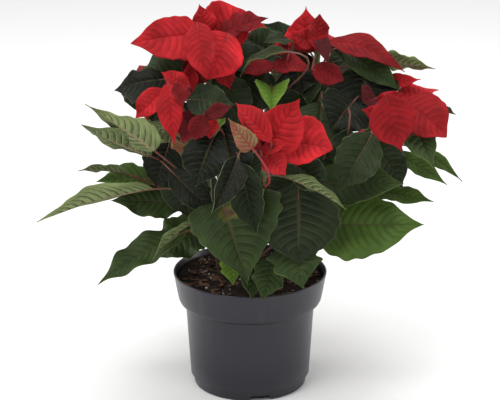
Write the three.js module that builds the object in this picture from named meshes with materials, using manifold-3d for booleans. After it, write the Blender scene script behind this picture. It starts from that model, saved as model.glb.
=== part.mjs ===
// A poinsettia growing in a plastic nursery pot. Millimetres, +Z up, origin in the middle of the pot's foot.
import * as THREE from "three";
import { mergeVertices } from "three/addons/utils/BufferGeometryUtils.js";
import Module from "manifold-3d";

// Pot wall as [radius, height]: outside from the foot up, inside from the rim down.
const POT_OUTSIDE = [
  [46.8, 0], [48.4, 1.2], [49.2, 8], [51.4, 9],
  [55.3, 73.3], [58.6, 74], [61.6, 78], [65.8, 100.8], [65.8, 102],
];
const POT_INSIDE = [
  [64.2, 102], [60.1, 79.2], [57.6, 75.9], [53.8, 74.9], [49.9, 10.2], [47.6, 9], [46.2, 2],
];
const POT_SIDES = 36;
const NOTCH_COUNT = 3;
const NOTCH_FIRST = -80;
const NOTCH_LOW_HALF = 10.5;
const NOTCH_TOP_HALF = 7.8;
const NOTCH_HEIGHT = 4.8;
const NOTCH_DEPTH = 5;

// Soil, as [radius, height]
const SOIL_OUTLINE = [
  [0, 2.3], [45.8, 2.3], [47.2, 9.2], [49.5, 10.5], [53.4, 75.2], [57.2, 76.3],
  [59.7, 79.5], [62, 93.4], [40, 95], [0, 95.4],
];
const GAP = 0.3;

// Stems, stalks and blades
const STEM_RADII = [4.2, 3.6];
const BRANCH_RADII = [3.4, 2.6];
const STEM_SIDES = 6;
const BRANCH_RINGS = 6;
const STALK_HALF = 1.4;
const STALK_STEPS = [0.5, 0];
const BRACT_STALK_OUT = 0.75;
const ROOT_HALF = 1;
const BLADE_THICKNESS = 0.8;
const BLADE_ROOT_HALF = 1.2;
const BLADE_TIP_HALF = 0.5;
const WAVE_HEIGHT = 1.5;
const WAVE_COUNT = 2;
const WAVE_STEP = 2.4;
const WAVE_LAG = 2;
const LARGE_BLADE = 2400;
const MEDIUM_BLADE = 1000;

// Bract heads and flower buds
const HUB_HALF_HEIGHT = 2.5;
const HUB_RADII = [4.2, 5];
const HUB_SIDES = 6;
const BUD_COUNT = 4;
const BUD_RADIUS = 2.1;
const BUD_RING = 2.3;
const BUD_SEAT = 1.2;
const BUD_GAP = 0.5;
const BUD_SEAT_RADIUS = 3.2;

const COLOURS = {
  pot: { color: 0x3c3c41, roughness: 0.45, metalness: 0 },
  soil: { color: 0x2a1c14, roughness: 0.95, metalness: 0 },
  leaf: { color: 0x2f4a2b, roughness: 0.55, metalness: 0 },
  bract: { color: 0xb81f2a, roughness: 0.6, metalness: 0 },
  bud: { color: 0xa8a63c, roughness: 0.5, metalness: 0 },
};

// Cut of a blade: fullness at the root, slimness and narrowing of its tip, depth of its lobes.
const CUTS = {
  bract: [0.95, 1.15, 0.4, 0],
  flame: [0.8, 1.5, 0.2, 0],
  round: [0.72, 0.8, 0.25, 0],
  leaf: [0.78, 1.1, 0.4, 0],
  lobed: [0.8, 1.05, 0.35, 0.3],
  heart: [0.3, 1.25, 0.2, 0],
  spear: [0.5, 1.7, 0.2, 0],
  wide: [0.5, 0.9, 0.25, 0],
};
const DRAWN_FROM = 0.72;
const DRAWN_OVER = 0.22;
const LOBES = [[0.34, 1], [0.6, 0.9]];
const LOBE_HALF = 0.11;
const LOBE_BASE = 0.45;
const COLUMNS = [-1, 0, 1];
const LARGE_ROWS = [0, 0.12, 0.28, 0.45, 0.63, 0.83, 1];
const MEDIUM_ROWS = [0, 0.14, 0.36, 0.6, 0.84, 1];
const SMALL_ROWS = [0, 0.16, 0.5, 0.8, 1];
const LOBED_ROWS = [0, 0.1, 0.24, 0.34, 0.47, 0.6, 0.76, 0.9, 1];

// Each cutting forks once; its branches carry the bract heads. [start, bend, end]
const BRANCHES = {
  left_main: [[-20, 4, 62], [-22, 4, 100], [-34, 0, 150]],
  left_low: [[-34, 0, 150], [-54, -22, 205], [-63, -32, 272]],
  left_high: [[-34, 0, 150], [-40, 4, 225], [-31, 2, 303]],
  front_main: [[2, -20, 62], [2, -22, 100], [-2, -38, 140]],
  front_left: [[-2, -38, 140], [-26, -52, 195], [-36, -52, 248]],
  front_right: [[-2, -38, 140], [8, -72, 180], [13, -86, 231]],
  right_main: [[22, 4, 62], [24, 4, 100], [44, 0, 150]],
  right_low: [[44, 0, 150], [84, -6, 200], [109, -14, 248]],
  right_high: [[44, 0, 150], [54, 20, 220], [57, 32, 287]],
  back_main: [[0, 24, 62], [0, 26, 100], [0, 40, 150]],
  back_middle: [[0, 40, 150], [12, 30, 220], [21, 14, 273]],
  back_left: [[0, 40, 150], [-40, 70, 195], [-60, 82, 246]],
  back_right: [[0, 40, 150], [36, 76, 195], [60, 94, 242]],
};

// The branch that ends in the middle of each bract head.
const HEADS = {
  top_left: "left_high",
  left: "left_low",
  centre_left: "front_left",
  front: "front_right",
  centre: "back_middle",
  top_right: "right_high",
  right: "right_low",
  back_left: "back_left",
  back_right: "back_right",
};

// Bracts: [head, root of the blade, its tip, way it faces, width, arch, fold in degrees, cut, other shape].
// Arch is the midrib's height over its length; skew moves it along, lean widens one half over the other.
const BRACTS = [
  ["top_left", [-41, -2, 308], [-97, -22, 306], [-0.15, -0.75, 0.6],
    44, 0.07, 8, "wide", { skew: 0.45, lean: -0.18 }],
  ["top_left", [-36, 10, 303], [-42, 12, 331], [0.3, -0.9, 0.2], 22, 0.05, 10, "bract"],
  ["top_left", [-32, 14, 300], [-3, 25, 322], [-0.1, -0.9, 0.35], 44, 0.04, 10, "round", { lean: -0.1 }],
  ["top_left", [-28, 11, 304], [15, 5, 321], [-0.1, -0.5, 0.85],
    26, 0.05, 14, "bract", { wave: 2, waves: 4 }],
  ["top_left", [-43, -24, 324], [-35, -58, 286], [-0.15, -0.9, 0.4], 26, 0.08, 10, "round"],
  ["top_left", [-17, -14, 312], [-35, -42, 281], [0.2, -0.85, 0.5], 40, 0.09, 6, "round", { lean: 0 }],
  ["top_left", [-27, -9, 291], [-16, -25, 268], [0.2, -0.9, 0.3], 19, 0, 12, "bract"],
  ["top_left", [-42, 3, 291], [-42, -9, 264], [-0.2, -0.9, 0.3], 28, 0.05, 12, "bract"],
  ["top_left", [-43, 12, 311], [-60, 78, 294], [-0.13, 0.32, 1], 38, 0.08, 10, "bract"],
  ["top_left", [-43, 6, 305], [-74, 22, 296], [-0.33, 0.12, 1], 34, 0.08, 10, "bract"],
  ["left", [-68, -40, 272], [-93, -50, 250], [-0.2, -0.85, 0.45], 22, 0.08, 10, "bract"],
  ["left", [-66, -49, 281], [-60, -76, 237], [-0.1, -0.95, 0.3], 21, 0.08, 10, "bract"],
  ["left", [-48, -48, 276], [-72, -34, 285], [0, -0.8, 0.6], 15, 0.03, 8, "bract"],
  ["left", [-59, -59, 283], [-53, -72, 267], [0.3, -0.9, 0.2], 14, -0.02, 20, "bract"],
  ["left", [-49, -18, 264], [-50, -14, 289], [0.2, -0.9, 0.2], 14, 0.04, 20, "bract"],
  ["centre_left", [-37, -76, 257], [-14, -72, 267], [-0.1, -0.7, 0.7], 14, 0.11, 10, "bract"],
  ["centre_left", [-36, -30, 250], [-54, -73, 237], [-0.2, -0.9, 0.4], 30, 0.06, 16, "round"],
  ["centre_left", [-35, -62, 253], [-32, -79, 242], [0.2, -0.9, 0.4], 18, 0.08, 16, "bract"],
  ["centre_left", [-37, -79, 262], [-44, -81, 241], [0, -0.9, 0.4], 18, 0.06, 16, "bract"],
  ["front", [9, -93, 232], [39, -86, 277], [-0.05, -0.9, 0.4], 38, 0.05, 8, "bract", { lean: 0.12 }],
  ["front", [20, -76, 239], [65, -97, 239], [0.05, -0.8, 0.55], 42, 0.08, 6, "round", { lean: -0.1 }],
  ["front", [11, -102, 235], [28, -113, 222], [0.1, -0.65, 0.7], 22, 0.08, 6, "bract"],
  ["front", [17, -111, 248], [-11, -89, 274], [-0.2, -0.8, 0.6], 20, 0.14, 8, "bract", { lean: 0.1 }],
  ["front", [9, -106, 240], [-5, -105, 265], [-0.4, -0.8, 0.2], 12, 0.1, 20, "bract"],
  ["front", [9, -99, 239], [5, -96, 261], [0.4, -0.9, 0.2], 12, 0.05, 20, "bract"],
  ["front", [9, -102, 238], [30, -112, 249], [0.1, -0.8, 0.6], 12, 0.05, 20, "bract", { wave: 2 }],
  ["centre", [17, 3, 280], [49, -6, 280], [0.1, -0.5, 0.85], 22, 0.13, 6, "round"],
  ["centre", [32, -4, 294], [17, 18, 294], [0, -0.8, 0.5], 15, 0.05, 10, "bract"],
  ["centre", [23, 43, 291], [-3, 66, 301], [0, -0.5, 0.8], 19, 0.06, 10, "bract"],
  ["centre", [20, 0, 282], [-6, -10, 277], [0, -0.6, 0.75], 17, 0.1, 8, "bract"],
  ["top_right", [47, 26, 287], [47, 36, 324], [0, -0.95, 0.2], 37, 0.09, 8, "flame", { skew: 0.4 }],
  ["top_right", [56, 15, 291], [58, 20, 321], [0.5, -0.85, 0.1], 22, -0.09, 16, "round"],
  ["top_right", [57, 20, 296], [34, 17, 304], [-0.1, -0.8, 0.5], 19, -0.01, 10, "bract"],
  ["top_right", [51, -12, 282], [77, -18, 274], [0.1, -0.85, 0.5], 20, 0.08, 6, "round"],
  ["top_right", [63, 15, 297], [128, -2, 277], [0.2, -0.55, 0.8], 27, 0.16, 6, "bract", { skew: 0.42 }],
  ["top_right", [58, 14, 300], [64, -32, 288], [0, -0.85, 0.4], 13, 0.19, 8, "bract"],
  ["top_right", [64, 44, 289], [91, 91, 275], [0.18, 0.3, 1], 36, 0.08, 10, "bract"],
  ["top_right", [56, 45, 286], [46, 112, 260], [-0.13, 0.32, 1], 36, 0.08, 10, "bract"],
  ["right", [113, 6, 268], [141, -6, 272], [0, -0.75, 0.6], 14, -0.1, 10, "flame"],
  ["right", [103, -29, 262], [92, -38, 261], [-0.2, -0.8, 0.5], 28, 0.03, 12, "round"],
  ["right", [100, -26, 255], [126, -16, 263], [0.1, -0.8, 0.5], 12, 0.05, 20, "bract", { wave: 2 }],
  ["right", [108, -60, 273], [122, -60, 226], [-0.1, -0.88, 0.45], 38, 0.08, 6, "bract", { skew: 0.4 }],
  ["right", [112, -36, 247], [90, -42, 256], [-0.1, -0.8, 0.5], 13, 0.1, 10, "bract"],
  ["right", [122, -24, 256], [160, -44, 233], [0.3, -0.75, 0.5], 42, 0.16, 4, "round", { lean: -0.04 }],
  ["right", [118, -12, 250], [159, 19, 256], [0.34, 0.09, 1], 28, 0.08, 10, "bract"],
  ["back_left", [-45, 88, 251], [5, 109, 230], [0.33, 0.12, 1], 40, 0.08, 10, "bract"],
  ["back_left", [-57, 97, 247], [-44, 158, 224], [0.07, 0.34, 1], 40, 0.08, 10, "bract"],
  ["back_left", [-61, 98, 255], [-100, 158, 228], [-0.22, 0.27, 1], 40, 0.08, 10, "bract"],
  ["back_left", [-74, 81, 247], [-104, 88, 228], [-0.35, -0.01, 1], 40, 0.08, 10, "bract"],
  ["back_left", [-62, 73, 248], [-87, 8, 231], [-0.19, -0.3, 1], 40, 0.08, 10, "bract"],
  ["back_left", [-52, 67, 247], [-18, 9, 224], [0.18, -0.3, 1], 40, 0.08, 10, "bract"],
  ["back_right", [81, 98, 238], [122, 105, 207], [0.35, 0, 1], 40, 0.08, 10, "bract"],
  ["back_right", [70, 108, 243], [109, 164, 220], [0.2, 0.29, 1], 40, 0.08, 10, "bract"],
  ["back_right", [54, 109, 243], [30, 168, 220], [-0.13, 0.32, 1], 40, 0.08, 10, "bract"],
  ["back_right", [46, 97, 243], [-10, 104, 215], [-0.34, 0.07, 1], 40, 0.06, 10, "bract"],
  ["back_right", [72, 88, 243], [18, 12, 225], [-0.22, -0.27, 1], 40, 0.08, 10, "bract"],
  ["back_right", [71, 74, 241], [125, 24, 184], [0.22, -0.27, 1], 40, 0.08, 10, "bract"],
];

// Leaves: the same, after the branch and the place along it, from 0 to 1, that the stalk grows from.
const LEAVES = [
  ["left_main", 0.6, [-39, 13, 136], [-80, -5, 114], [-0.3, -0.7, 0.6],
    45, 0.08, 10, "leaf", { wave: 3, waves: 3 }],
  ["left_main", 0.7, [-54, -22, 144], [-127, -48, 106], [-0.4, -0.7, 0.6],
    29, 0.08, 12, "leaf", { wave: 3, waves: 3 }],
  ["left_main", 0.75, [-55, -16, 167], [-116, -24, 172], [-0.1, -0.7, 0.6],
    33, 0.05, 8, "leaf", { wave: 2.5, waves: 3 }],
  ["left_main", 0.85, [-80, -42, 188], [-173, -70, 169], [0.05, 0.8, 0.45],
    17, 0.05, 20, "leaf", { lean: -0.6, wave: 2, waves: 2 }],
  ["left_main", 0.9, [-79, -17, 189], [-128, -22, 188], [0, -0.5, 0.8], 28, 0.06, 10, "leaf"],
  ["left_main", 0.9, [-54, -28, 199], [-51, -31, 160], [-0.1, -0.85, 0.4], 42, 0.08, 8, "leaf"],
  ["left_main", 0.92, [-65, -50, 207], [-26, -70, 175], [-0.3, -0.8, 0.4], 25, 0.08, 14, "leaf"],
  ["left_main", 0.95, [-101, -24, 195], [-142, -34, 201], [0.1, 0.7, 0.6], 14, 0.08, 12, "leaf"],
  ["left_low", 0.1, [-81, -38, 215], [-135, -66, 250], [0.25, 0.75, 0.5], 33, -0.02, 16, "leaf"],
  ["left_low", 0.15, [-77, -56, 225], [-131, -70, 268], [0.25, 0.8, 0.4],
    37, 0.02, 14, "spear", { lean: 0 }],
  ["left_low", 0.4, [-66, -30, 224], [-78, -34, 187], [-0.1, -0.85, 0.4], 35, 0.08, 8, "leaf"],
  ["left_low", 0.5, [-74, 7, 260], [-82, 2, 233], [-0.1, -0.85, 0.4], 61, 0.06, 8, "leaf"],
  ["left_low", 0.5, [-68, 19, 232], [-75, 53, 205], [-0.18, 0.37, 0.91], 38, 0.12, 10, "leaf"],
  ["left_low", 0.8, [-51, -47, 222], [-62, -72, 241], [-0.3, -0.8, 0.4], 15, 0.01, 14, "leaf"],
  ["left_high", 0.3, [-50, 15, 190], [-109, 43, 146], [-0.22, -0.42, 0.88], 42, 0.12, 10, "leaf"],
  ["left_high", 0.5, [-33, -8, 268], [-2, -22, 235], [0.1, -0.85, 0.5], 46, 0.08, 8, "leaf"],
  ["left_high", 0.55, [-64, -18, 275], [-112, -9, 263], [-0.25, -0.7, 0.6],
    33, 0.13, 12, "lobed", { lean: -0.35 }],
  ["left_high", 0.65, [-41, 19, 273], [-100, -1, 269], [-0.2, -0.6, 0.8],
    43, 0.05, 12, "lobed", { lean: -0.15 }],
  ["front_main", 0.62, [5, -46, 132], [1, -70, 101], [0, -0.9, 0.4], 24, 0.04, 12, "leaf"],
  ["front_main", 0.64, [-17, -38, 132], [-14, -52, 107], [0, -0.85, 0.5], 19, 0.05, 14, "lobed"],
  ["front_main", 0.68, [21, -56, 136], [10, -71, 101], [0, -0.85, 0.5], 28, 0.06, 14, "lobed"],
  ["front_main", 0.8, [-45, -40, 159], [-80, -58, 132], [0.4, 0.5, 0.6], 14, 0.1, 14, "leaf"],
  ["front_main", 0.9, [-23, -70, 188], [-2, -95, 125], [-0.05, -0.85, 0.5],
    78, 0.06, 10, "heart", { lean: -0.2 }],
  ["front_main", 0.95, [39, -67, 201], [39, -78, 134], [0.05, -0.8, 0.6], 68, 0.08, 8, "leaf"],
  ["front_left", 0.25, [-8, -72, 220], [6, -92, 166], [-0.2, -0.85, 0.4], 32, 0.06, 24, "leaf"],
  ["front_left", 0.3, [-10, -82, 227], [-30, -122, 194], [0.3, -0.85, 0.3], 26, 0.06, 32, "leaf"],
  ["front_left", 0.35, [-24, -47, 245], [-11, -72, 197], [0.1, -0.85, 0.4], 42, 0.08, 8, "leaf"],
  ["front_left", 0.4, [-29, -70, 241], [-44, -86, 204], [-0.1, -0.85, 0.4], 38, 0.11, 8, "leaf"],
  ["front_left", 0.8, [-51, -42, 264], [-12, -68, 267], [-0.1, -0.8, 0.55], 28, 0.08, 6, "leaf"],
  ["front_left", 0.9, [-21, -46, 249], [-31, -77, 242], [-0.3, -0.8, 0.4], 9, 0.04, 20, "leaf"],
  ["front_right", 0.4, [10, -47, 224], [19, -62, 179], [0.1, -0.85, 0.4], 49, 0.08, 8, "leaf"],
  ["front_right", 0.6, [26, -96, 216], [76, -104, 191], [-0.2, 0.6, 0.6], 16, 0.06, 30, "leaf"],
  ["front_right", 0.6, [34, -75, 220], [64, -81, 200], [0, -0.8, 0.5], 28, 0.06, 10, "leaf"],
  ["front_right", 0.68, [2, -126, 248], [-17, -108, 267], [-0.2, -0.8, 0.4], 17, 0.05, 10, "heart"],
  ["right_main", 0.66, [31, -58, 150], [43, -83, 116], [0.1, -0.8, 0.6], 42, 0.1, 10, "lobed"],
  ["right_main", 0.8, [50, -40, 155], [142, -62, 164], [0.05, -0.75, 0.65],
    60, 0.03, 8, "leaf", { lean: 0.12 }],
  ["right_main", 0.85, [103, -11, 176], [153, -27, 172], [0, -0.6, 0.8], 19, 0.04, 10, "leaf"],
  ["right_main", 0.9, [50, -24, 189], [124, -68, 201], [0, -0.75, 0.6], 42, -0.02, 8, "leaf"],
  ["right_main", 0.95, [80, -48, 241], [74, -58, 204], [-0.2, -0.85, 0.4], 27, -0.01, 12, "leaf"],
  ["right_low", 0.2, [120, -10, 210], [164, -24, 186], [0.1, -0.7, 0.6], 16, 0.04, 10, "leaf"],
  ["right_low", 0.3, [147, -4, 208], [178, -12, 185], [0.2, -0.7, 0.6], 14, 0.06, 10, "spear"],
  ["right_low", 0.3, [101, -19, 221], [127, -27, 183], [0, -0.8, 0.6], 34, 0.1, 8, "leaf"],
  ["right_low", 0.4, [99, -54, 239], [71, -71, 196], [0.1, -0.85, 0.5], 38, 0.08, 14, "leaf"],
  ["right_low", 0.55, [130, -15, 246], [148, -63, 213], [0.2, -0.8, 0.5],
    34, 0.07, 10, "leaf", { lean: 0.25 }],
  ["right_low", 0.8, [149, -10, 250], [168, -32, 249], [0, -0.4, 0.8], 11, 0.02, 6, "leaf"],
  ["right_high", 0.3, [49, -11, 220], [61, -14, 171], [0, -0.85, 0.4], 40, 0.08, 8, "leaf"],
  ["right_high", 0.35, [59, -19, 256], [56, -36, 220], [0, -0.85, 0.4], 44, 0.08, 8, "leaf"],
  ["right_high", 0.4, [86, -18, 257], [65, -41, 238], [0, -0.85, 0.4], 48, 0.08, 10, "leaf"],
  ["right_high", 0.45, [76, 24, 262], [44, 3, 237], [-0.1, -0.8, 0.5], 28, 0.05, 14, "leaf"],
  ["right_high", 0.5, [54, 19, 269], [48, -9, 249], [-0.2, -0.85, 0.4], 18, 0.06, 20, "leaf"],
  ["right_high", 0.6, [94, 7, 277], [96, -12, 244], [0.2, -0.85, 0.4], 57, 0.08, 10, "leaf"],
  ["right_high", 0.7, [40, 11, 280], [42, -4, 258], [0, -0.85, 0.4], 29, -0.08, 8, "leaf"],
  ["right_high", 0.75, [78, 22, 290], [125, -8, 262], [-0.2, -0.7, 0.6], 24, 0.1, 14, "leaf"],
  ["right_high", 0.8, [112, 12, 283], [154, 4, 278], [0, 0.6, 0.6], 28, 0.02, 6, "heart"],
  ["right_high", 0.8, [91, 35, 264], [68, 43, 288], [0, -0.7, 0.5], 35, 0.05, 8, "leaf"],
  ["right_high", 0.9, [44, 44, 289], [11, 42, 308], [0, -0.6, 0.6], 21, 0.02, 6, "leaf"],
  ["back_main", 0.7, [-1, 68, 124], [-12, 110, 133], [-0.06, 0.34, 1], 44, 0.12, 10, "leaf"],
  ["back_main", 0.8, [29, 71, 129], [44, 115, 168], [0.4, 0.3, 0.86], 44, 0.12, 10, "leaf"],
  ["back_main", 0.85, [-22, 55, 136], [-65, 99, 145], [-0.5, -0.58, 0.64], 44, 0.12, 10, "leaf"],
  ["back_middle", 0.45, [22, 14, 256], [43, 13, 216], [0.1, -0.85, 0.5], 40, 0.08, 8, "leaf"],
  ["back_middle", 0.5, [6, 17, 278], [-16, -5, 237], [-0.1, -0.85, 0.5], 61, 0.08, 8, "leaf"],
  ["back_middle", 0.6, [49, 58, 278], [28, 27, 245], [0, -0.85, 0.4], 48, 0.03, 8, "leaf"],
  ["back_middle", 0.7, [18, -8, 265], [18, -36, 251], [0, -0.35, 0.95], 37, 0.05, 40, "heart"],
  ["back_middle", 0.75, [30, -50, 306], [-8, -12, 275], [-0.2, -0.35, 0.9], 15, 0.14, 10, "leaf"],
  ["back_middle", 0.85, [10, 22, 288], [-18, 1, 277], [-0.1, -0.8, 0.5], 30, 0.1, 8, "leaf"],
  ["back_middle", 0.9, [33, 11, 301], [11, -14, 305], [0, -0.6, 0.7], 14, 0.07, 10, "leaf"],
  ["back_middle", 0.9, [25, 27, 282], [-9, 39, 299], [-0.1, -0.7, 0.5], 34, 0.06, 8, "leaf"],
  ["back_left", 0.3, [-51, 79, 184], [-73, 125, 212], [-0.17, 0.3, 1], 44, 0.12, 10, "leaf"],
  ["back_left", 0.4, [-53, 55, 179], [-85, 66, 206], [-0.64, 0.59, 0.49], 44, 0.12, 10, "leaf"],
  ["back_left", 0.6, [-41, 96, 212], [-41, 140, 205], [0, 0.35, 1], 40, 0.12, 10, "leaf"],
  ["back_right", 0.3, [41, 84, 183], [75, 124, 176], [0.22, 0.27, 1], 44, 0.12, 10, "leaf"],
  ["back_right", 0.4, [18, 115, 188], [-19, 141, 156], [0.6, 0.54, 0.59], 44, 0.12, 10, "leaf"],
  ["back_right", 0.6, [67, 82, 211], [112, 90, 205], [0.34, 0.06, 1], 40, 0.12, 10, "leaf"],
];

const manifold = await Module();
manifold.setup();

const vector = (list) => new THREE.Vector3(...list);
const radians = THREE.MathUtils.degToRad;

function toSolid(geometry) {
  const bare = new THREE.BufferGeometry();
  bare.setAttribute("position", geometry.getAttribute("position"));
  bare.setIndex(geometry.getIndex());
  const merged = mergeVertices(bare, 1e-4);
  const triVerts = Uint32Array.from(merged.getIndex().array);
  const kept = [];
  for (let i = 0; i < triVerts.length; i += 3) {
    const [a, b, c] = triVerts.subarray(i, i + 3);
    if (a !== b && b !== c && c !== a) kept.push(a, b, c);
  }
  const vertProperties = Float32Array.from(merged.getAttribute("position").array);
  const mesh = new manifold.Mesh({ numProp: 3, vertProperties, triVerts: Uint32Array.from(kept) });
  return new manifold.Manifold(mesh);
}

// Joins solids into one body: a hollow that the join seals is filled and a loose scrap is dropped.
function fuse(solids) {
  const whole = solids.reduce((sum, solid) => sum.add(solid));
  return whole.decompose().reduce((main, body) => (body.volume() > main.volume() ? body : main));
}

function toGeometry(solid) {
  const mesh = solid.getMesh();
  const geometry = new THREE.BufferGeometry();
  geometry.setAttribute("position", new THREE.BufferAttribute(Float32Array.from(mesh.vertProperties), 3));
  geometry.setIndex(new THREE.BufferAttribute(Uint32Array.from(mesh.triVerts), 1));
  geometry.computeVertexNormals();
  return geometry;
}

function turned(profile, sides) {
  const points = profile.map(([r, z]) => new THREE.Vector2(r, z));
  return toSolid(new THREE.LatheGeometry(points, sides).rotateX(Math.PI / 2));
}

// Share of the full half width that a blade has at t, from its root (0) to its tip (1).
function outline(t, cut) {
  const [root, tip, drawn, lobed] = CUTS[cut];
  const widest = root / (root + tip);
  let share = (t / widest) ** root * ((1 - t) / (1 - widest)) ** tip;
  share *= 1 - drawn * THREE.MathUtils.smoothstep(t, DRAWN_FROM, DRAWN_FROM + DRAWN_OVER);
  if (lobed > 0) {
    let tooth = 0;
    for (const [place, size] of LOBES) tooth += size * Math.max(0, 1 - Math.abs(t - place) / LOBE_HALF);
    share *= 1 - lobed * LOBE_BASE + lobed * tooth;
  }
  return share;
}

class Blade {
  constructor(index, root, tip, face, width, arch, fold, cut, other = {}) {
    Object.assign(this, { width, cut, fold: radians(fold) });
    this.root = vector(root);
    this.tip = vector(tip);
    this.length = this.root.distanceTo(this.tip);
    this.along = this.tip.clone().sub(this.root).normalize();
    this.up = vector(face);
    this.up.addScaledVector(this.along, -this.up.dot(this.along)).normalize();
    this.across = this.along.clone().cross(this.up);
    this.bend = this.root.clone().addScaledVector(this.along, this.length * (other.skew ?? 0.5));
    this.bend.addScaledVector(this.up, 2 * arch * this.length);
    this.lean = other.lean ?? 0;
    this.wave = other.wave ?? WAVE_HEIGHT;
    this.waves = other.waves ?? WAVE_COUNT;
    this.phase = WAVE_STEP * index;
    this.midrib = new THREE.QuadraticBezierCurve3(this.root, this.bend, this.tip);
  }

  // Point of the blade's middle sheet: t from root to tip, v from one edge (-1) to the other (1).
  point(t, v) {
    const tangent = this.midrib.getTangent(t);
    const normal = this.across.clone().cross(tangent);
    const least = t < 0.5 ? BLADE_ROOT_HALF : BLADE_TIP_HALF;
    const half = Math.max((this.width / 2) * outline(t, this.cut) * (1 + this.lean * Math.sign(v)), least);
    const out = Math.abs(v);
    const ripple = Math.sin(2 * Math.PI * this.waves * t + this.phase + (v > 0 ? 0 : WAVE_LAG));
    const rise = out * half * Math.sin(this.fold) + this.wave * Math.min(1, half / 8) * out ** 1.5 * ripple;
    return this.midrib.getPoint(t)
      .addScaledVector(this.across, v * half * Math.cos(this.fold))
      .addScaledVector(normal, rise);
  }

  normal(t, v) {
    const step = 1e-3;
    const alongT = this.point(Math.min(t + step, 1), v).sub(this.point(Math.max(t - step, 0), v));
    const alongV = this.point(t, Math.min(v + step, 1)).sub(this.point(t, Math.max(v - step, -1)));
    return alongV.cross(alongT).normalize();
  }

  rows() {
    if (this.cut === "lobed") return LOBED_ROWS;
    const area = this.width * this.length;
    if (area > LARGE_BLADE) return LARGE_ROWS;
    return area > MEDIUM_BLADE ? MEDIUM_ROWS : SMALL_ROWS;
  }

  // Points above and below the middle sheet, column by column, in one row across the blade.
  bladeRow(t) {
    return COLUMNS.map((v) => {
      const half = t === 0 ? ROOT_HALF * (1 - Math.abs(v)) : BLADE_THICKNESS / 2;
      const out = this.normal(t, v).multiplyScalar(half);
      return [this.point(t, v).add(out), this.point(t, v).sub(out)];
    });
  }

  // The same across the stalk, a four-sided rod; across is turned to stay square to it.
  stalkRow(curve, s, across) {
    const tangent = curve.getTangent(s);
    across.addScaledVector(tangent, -across.dot(tangent)).normalize();
    const normal = across.clone().cross(tangent);
    return COLUMNS.map((v) => {
      const point = curve.getPoint(s).addScaledVector(across, v * STALK_HALF);
      const out = normal.clone().multiplyScalar(STALK_HALF * (1 - Math.abs(v)));
      return [point.clone().add(out), point.clone().sub(out)];
    });
  }

  // From the foot of the stalk to the tip of the blade: both faces share one split into triangles.
  solid(from, level) {
    const start = vector(from);
    const control = new THREE.Vector3();
    if (level) {
      control.lerpVectors(start, this.root, BRACT_STALK_OUT).setZ(start.z);
    } else {
      control.copy(this.root).addScaledVector(this.midrib.getTangent(0), -start.distanceTo(this.root) / 2);
    }
    const curve = new THREE.QuadraticBezierCurve3(start, control, this.root);
    const across = this.across.clone();
    const stalk = STALK_STEPS.map((s) => this.stalkRow(curve, s, across)).reverse();
    const rows = stalk.concat(this.rows().map((t) => this.bladeRow(t)));
    const points = [0, 1].flatMap((face) => rows.flatMap((row) => row.map((pair) => pair[face])));
    return toSolid(closedSheet(points, rows.length));
  }
}

// Two like sheets of points, upper then lower, joined round their border.
function closedSheet(points, rowCount) {
  const strips = COLUMNS.length - 1;
  const last = rowCount - 1;
  const count = points.length / 2;
  const index = Array.from(new THREE.PlaneGeometry(1, 1, strips, last).getIndex().array);
  const faces = [];
  for (let i = 0; i < index.length; i += 3) {
    const [a, b, c] = index.slice(i, i + 3);
    faces.push(a, c, b, a + count, b + count, c + count);
  }
  const border = [];
  for (let j = 0; j < strips; j += 1) border.push(j);
  for (let i = 0; i < last; i += 1) border.push(i * (strips + 1) + strips);
  for (let j = strips; j > 0; j -= 1) border.push(last * (strips + 1) + j);
  for (let i = last; i > 0; i -= 1) border.push(i * (strips + 1));
  border.forEach((a, place) => {
    const b = border[(place + 1) % border.length];
    faces.push(a, b + count, b, a, a + count, b + count);
  });
  const geometry = new THREE.BufferGeometry().setFromPoints(points);
  return geometry.setIndex(faces);
}

// A round rod through the points, its radius going from the first to the last of radii, closed at both ends.
function tube(points, radii, sides) {
  const rings = points.length - 1;
  const geometry = new THREE.CylinderGeometry(1, 1, 1, sides, rings);
  const grid = geometry.getAttribute("position");
  const first = points[1].clone().sub(points[0]).normalize();
  const upright = Math.abs(first.z) < 0.9 ? new THREE.Vector3(0, 0, 1) : new THREE.Vector3(1, 0, 0);
  const side = first.clone().cross(upright).normalize();
  const frames = points.map((point, i) => {
    const tangent = points[Math.min(i + 1, rings)].clone().sub(points[Math.max(i - 1, 0)]).normalize();
    side.addScaledVector(tangent, -side.dot(tangent)).normalize();
    const radius = THREE.MathUtils.lerp(radii[0], radii[1], i / rings);
    return { point, radius, side: side.clone(), other: side.clone().cross(tangent) };
  });
  for (let i = 0; i < grid.count; i += 1) {
    const { point, radius, side: x, other: z } = frames[Math.round((grid.getY(i) + 0.5) * rings)];
    const place = point.clone()
      .addScaledVector(x, radius * grid.getX(i))
      .addScaledVector(z, radius * grid.getZ(i));
    grid.setXYZ(i, place.x, place.y, place.z);
  }
  return toSolid(geometry);
}

function disc(radii, low, high, sides, x = 0, y = 0) {
  const geometry = new THREE.CylinderGeometry(radii[1], radii[0], high - low, sides);
  return toSolid(geometry.rotateX(Math.PI / 2).translate(x, y, (low + high) / 2));
}

const SIDES = ["left", "front", "right", "back"];

const headPlace = (head) => BRANCHES[HEADS[head]][2];
const branchCurve = (name) => new THREE.QuadraticBezierCurve3(...BRANCHES[name].map(vector));

function branchRod(name, extra = 0) {
  const main = name.endsWith("main");
  const radii = (main ? STEM_RADII : BRANCH_RADII).map((radius) => radius + extra);
  const points = branchCurve(name).getPoints(BRANCH_RINGS);
  if (extra > 0) points[0].z -= GAP;
  const rod = tube(points, radii, STEM_SIDES);
  if (main) return rod;
  const [x, y, z] = BRANCHES[name][2];
  const top = z - HUB_HALF_HEIGHT - GAP;
  const broad = [2 * radii[0], 2 * radii[0]];
  return rod.subtract(disc(broad, top, top + 4 * HUB_HALF_HEIGHT, STEM_SIDES, x, y));
}

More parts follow.
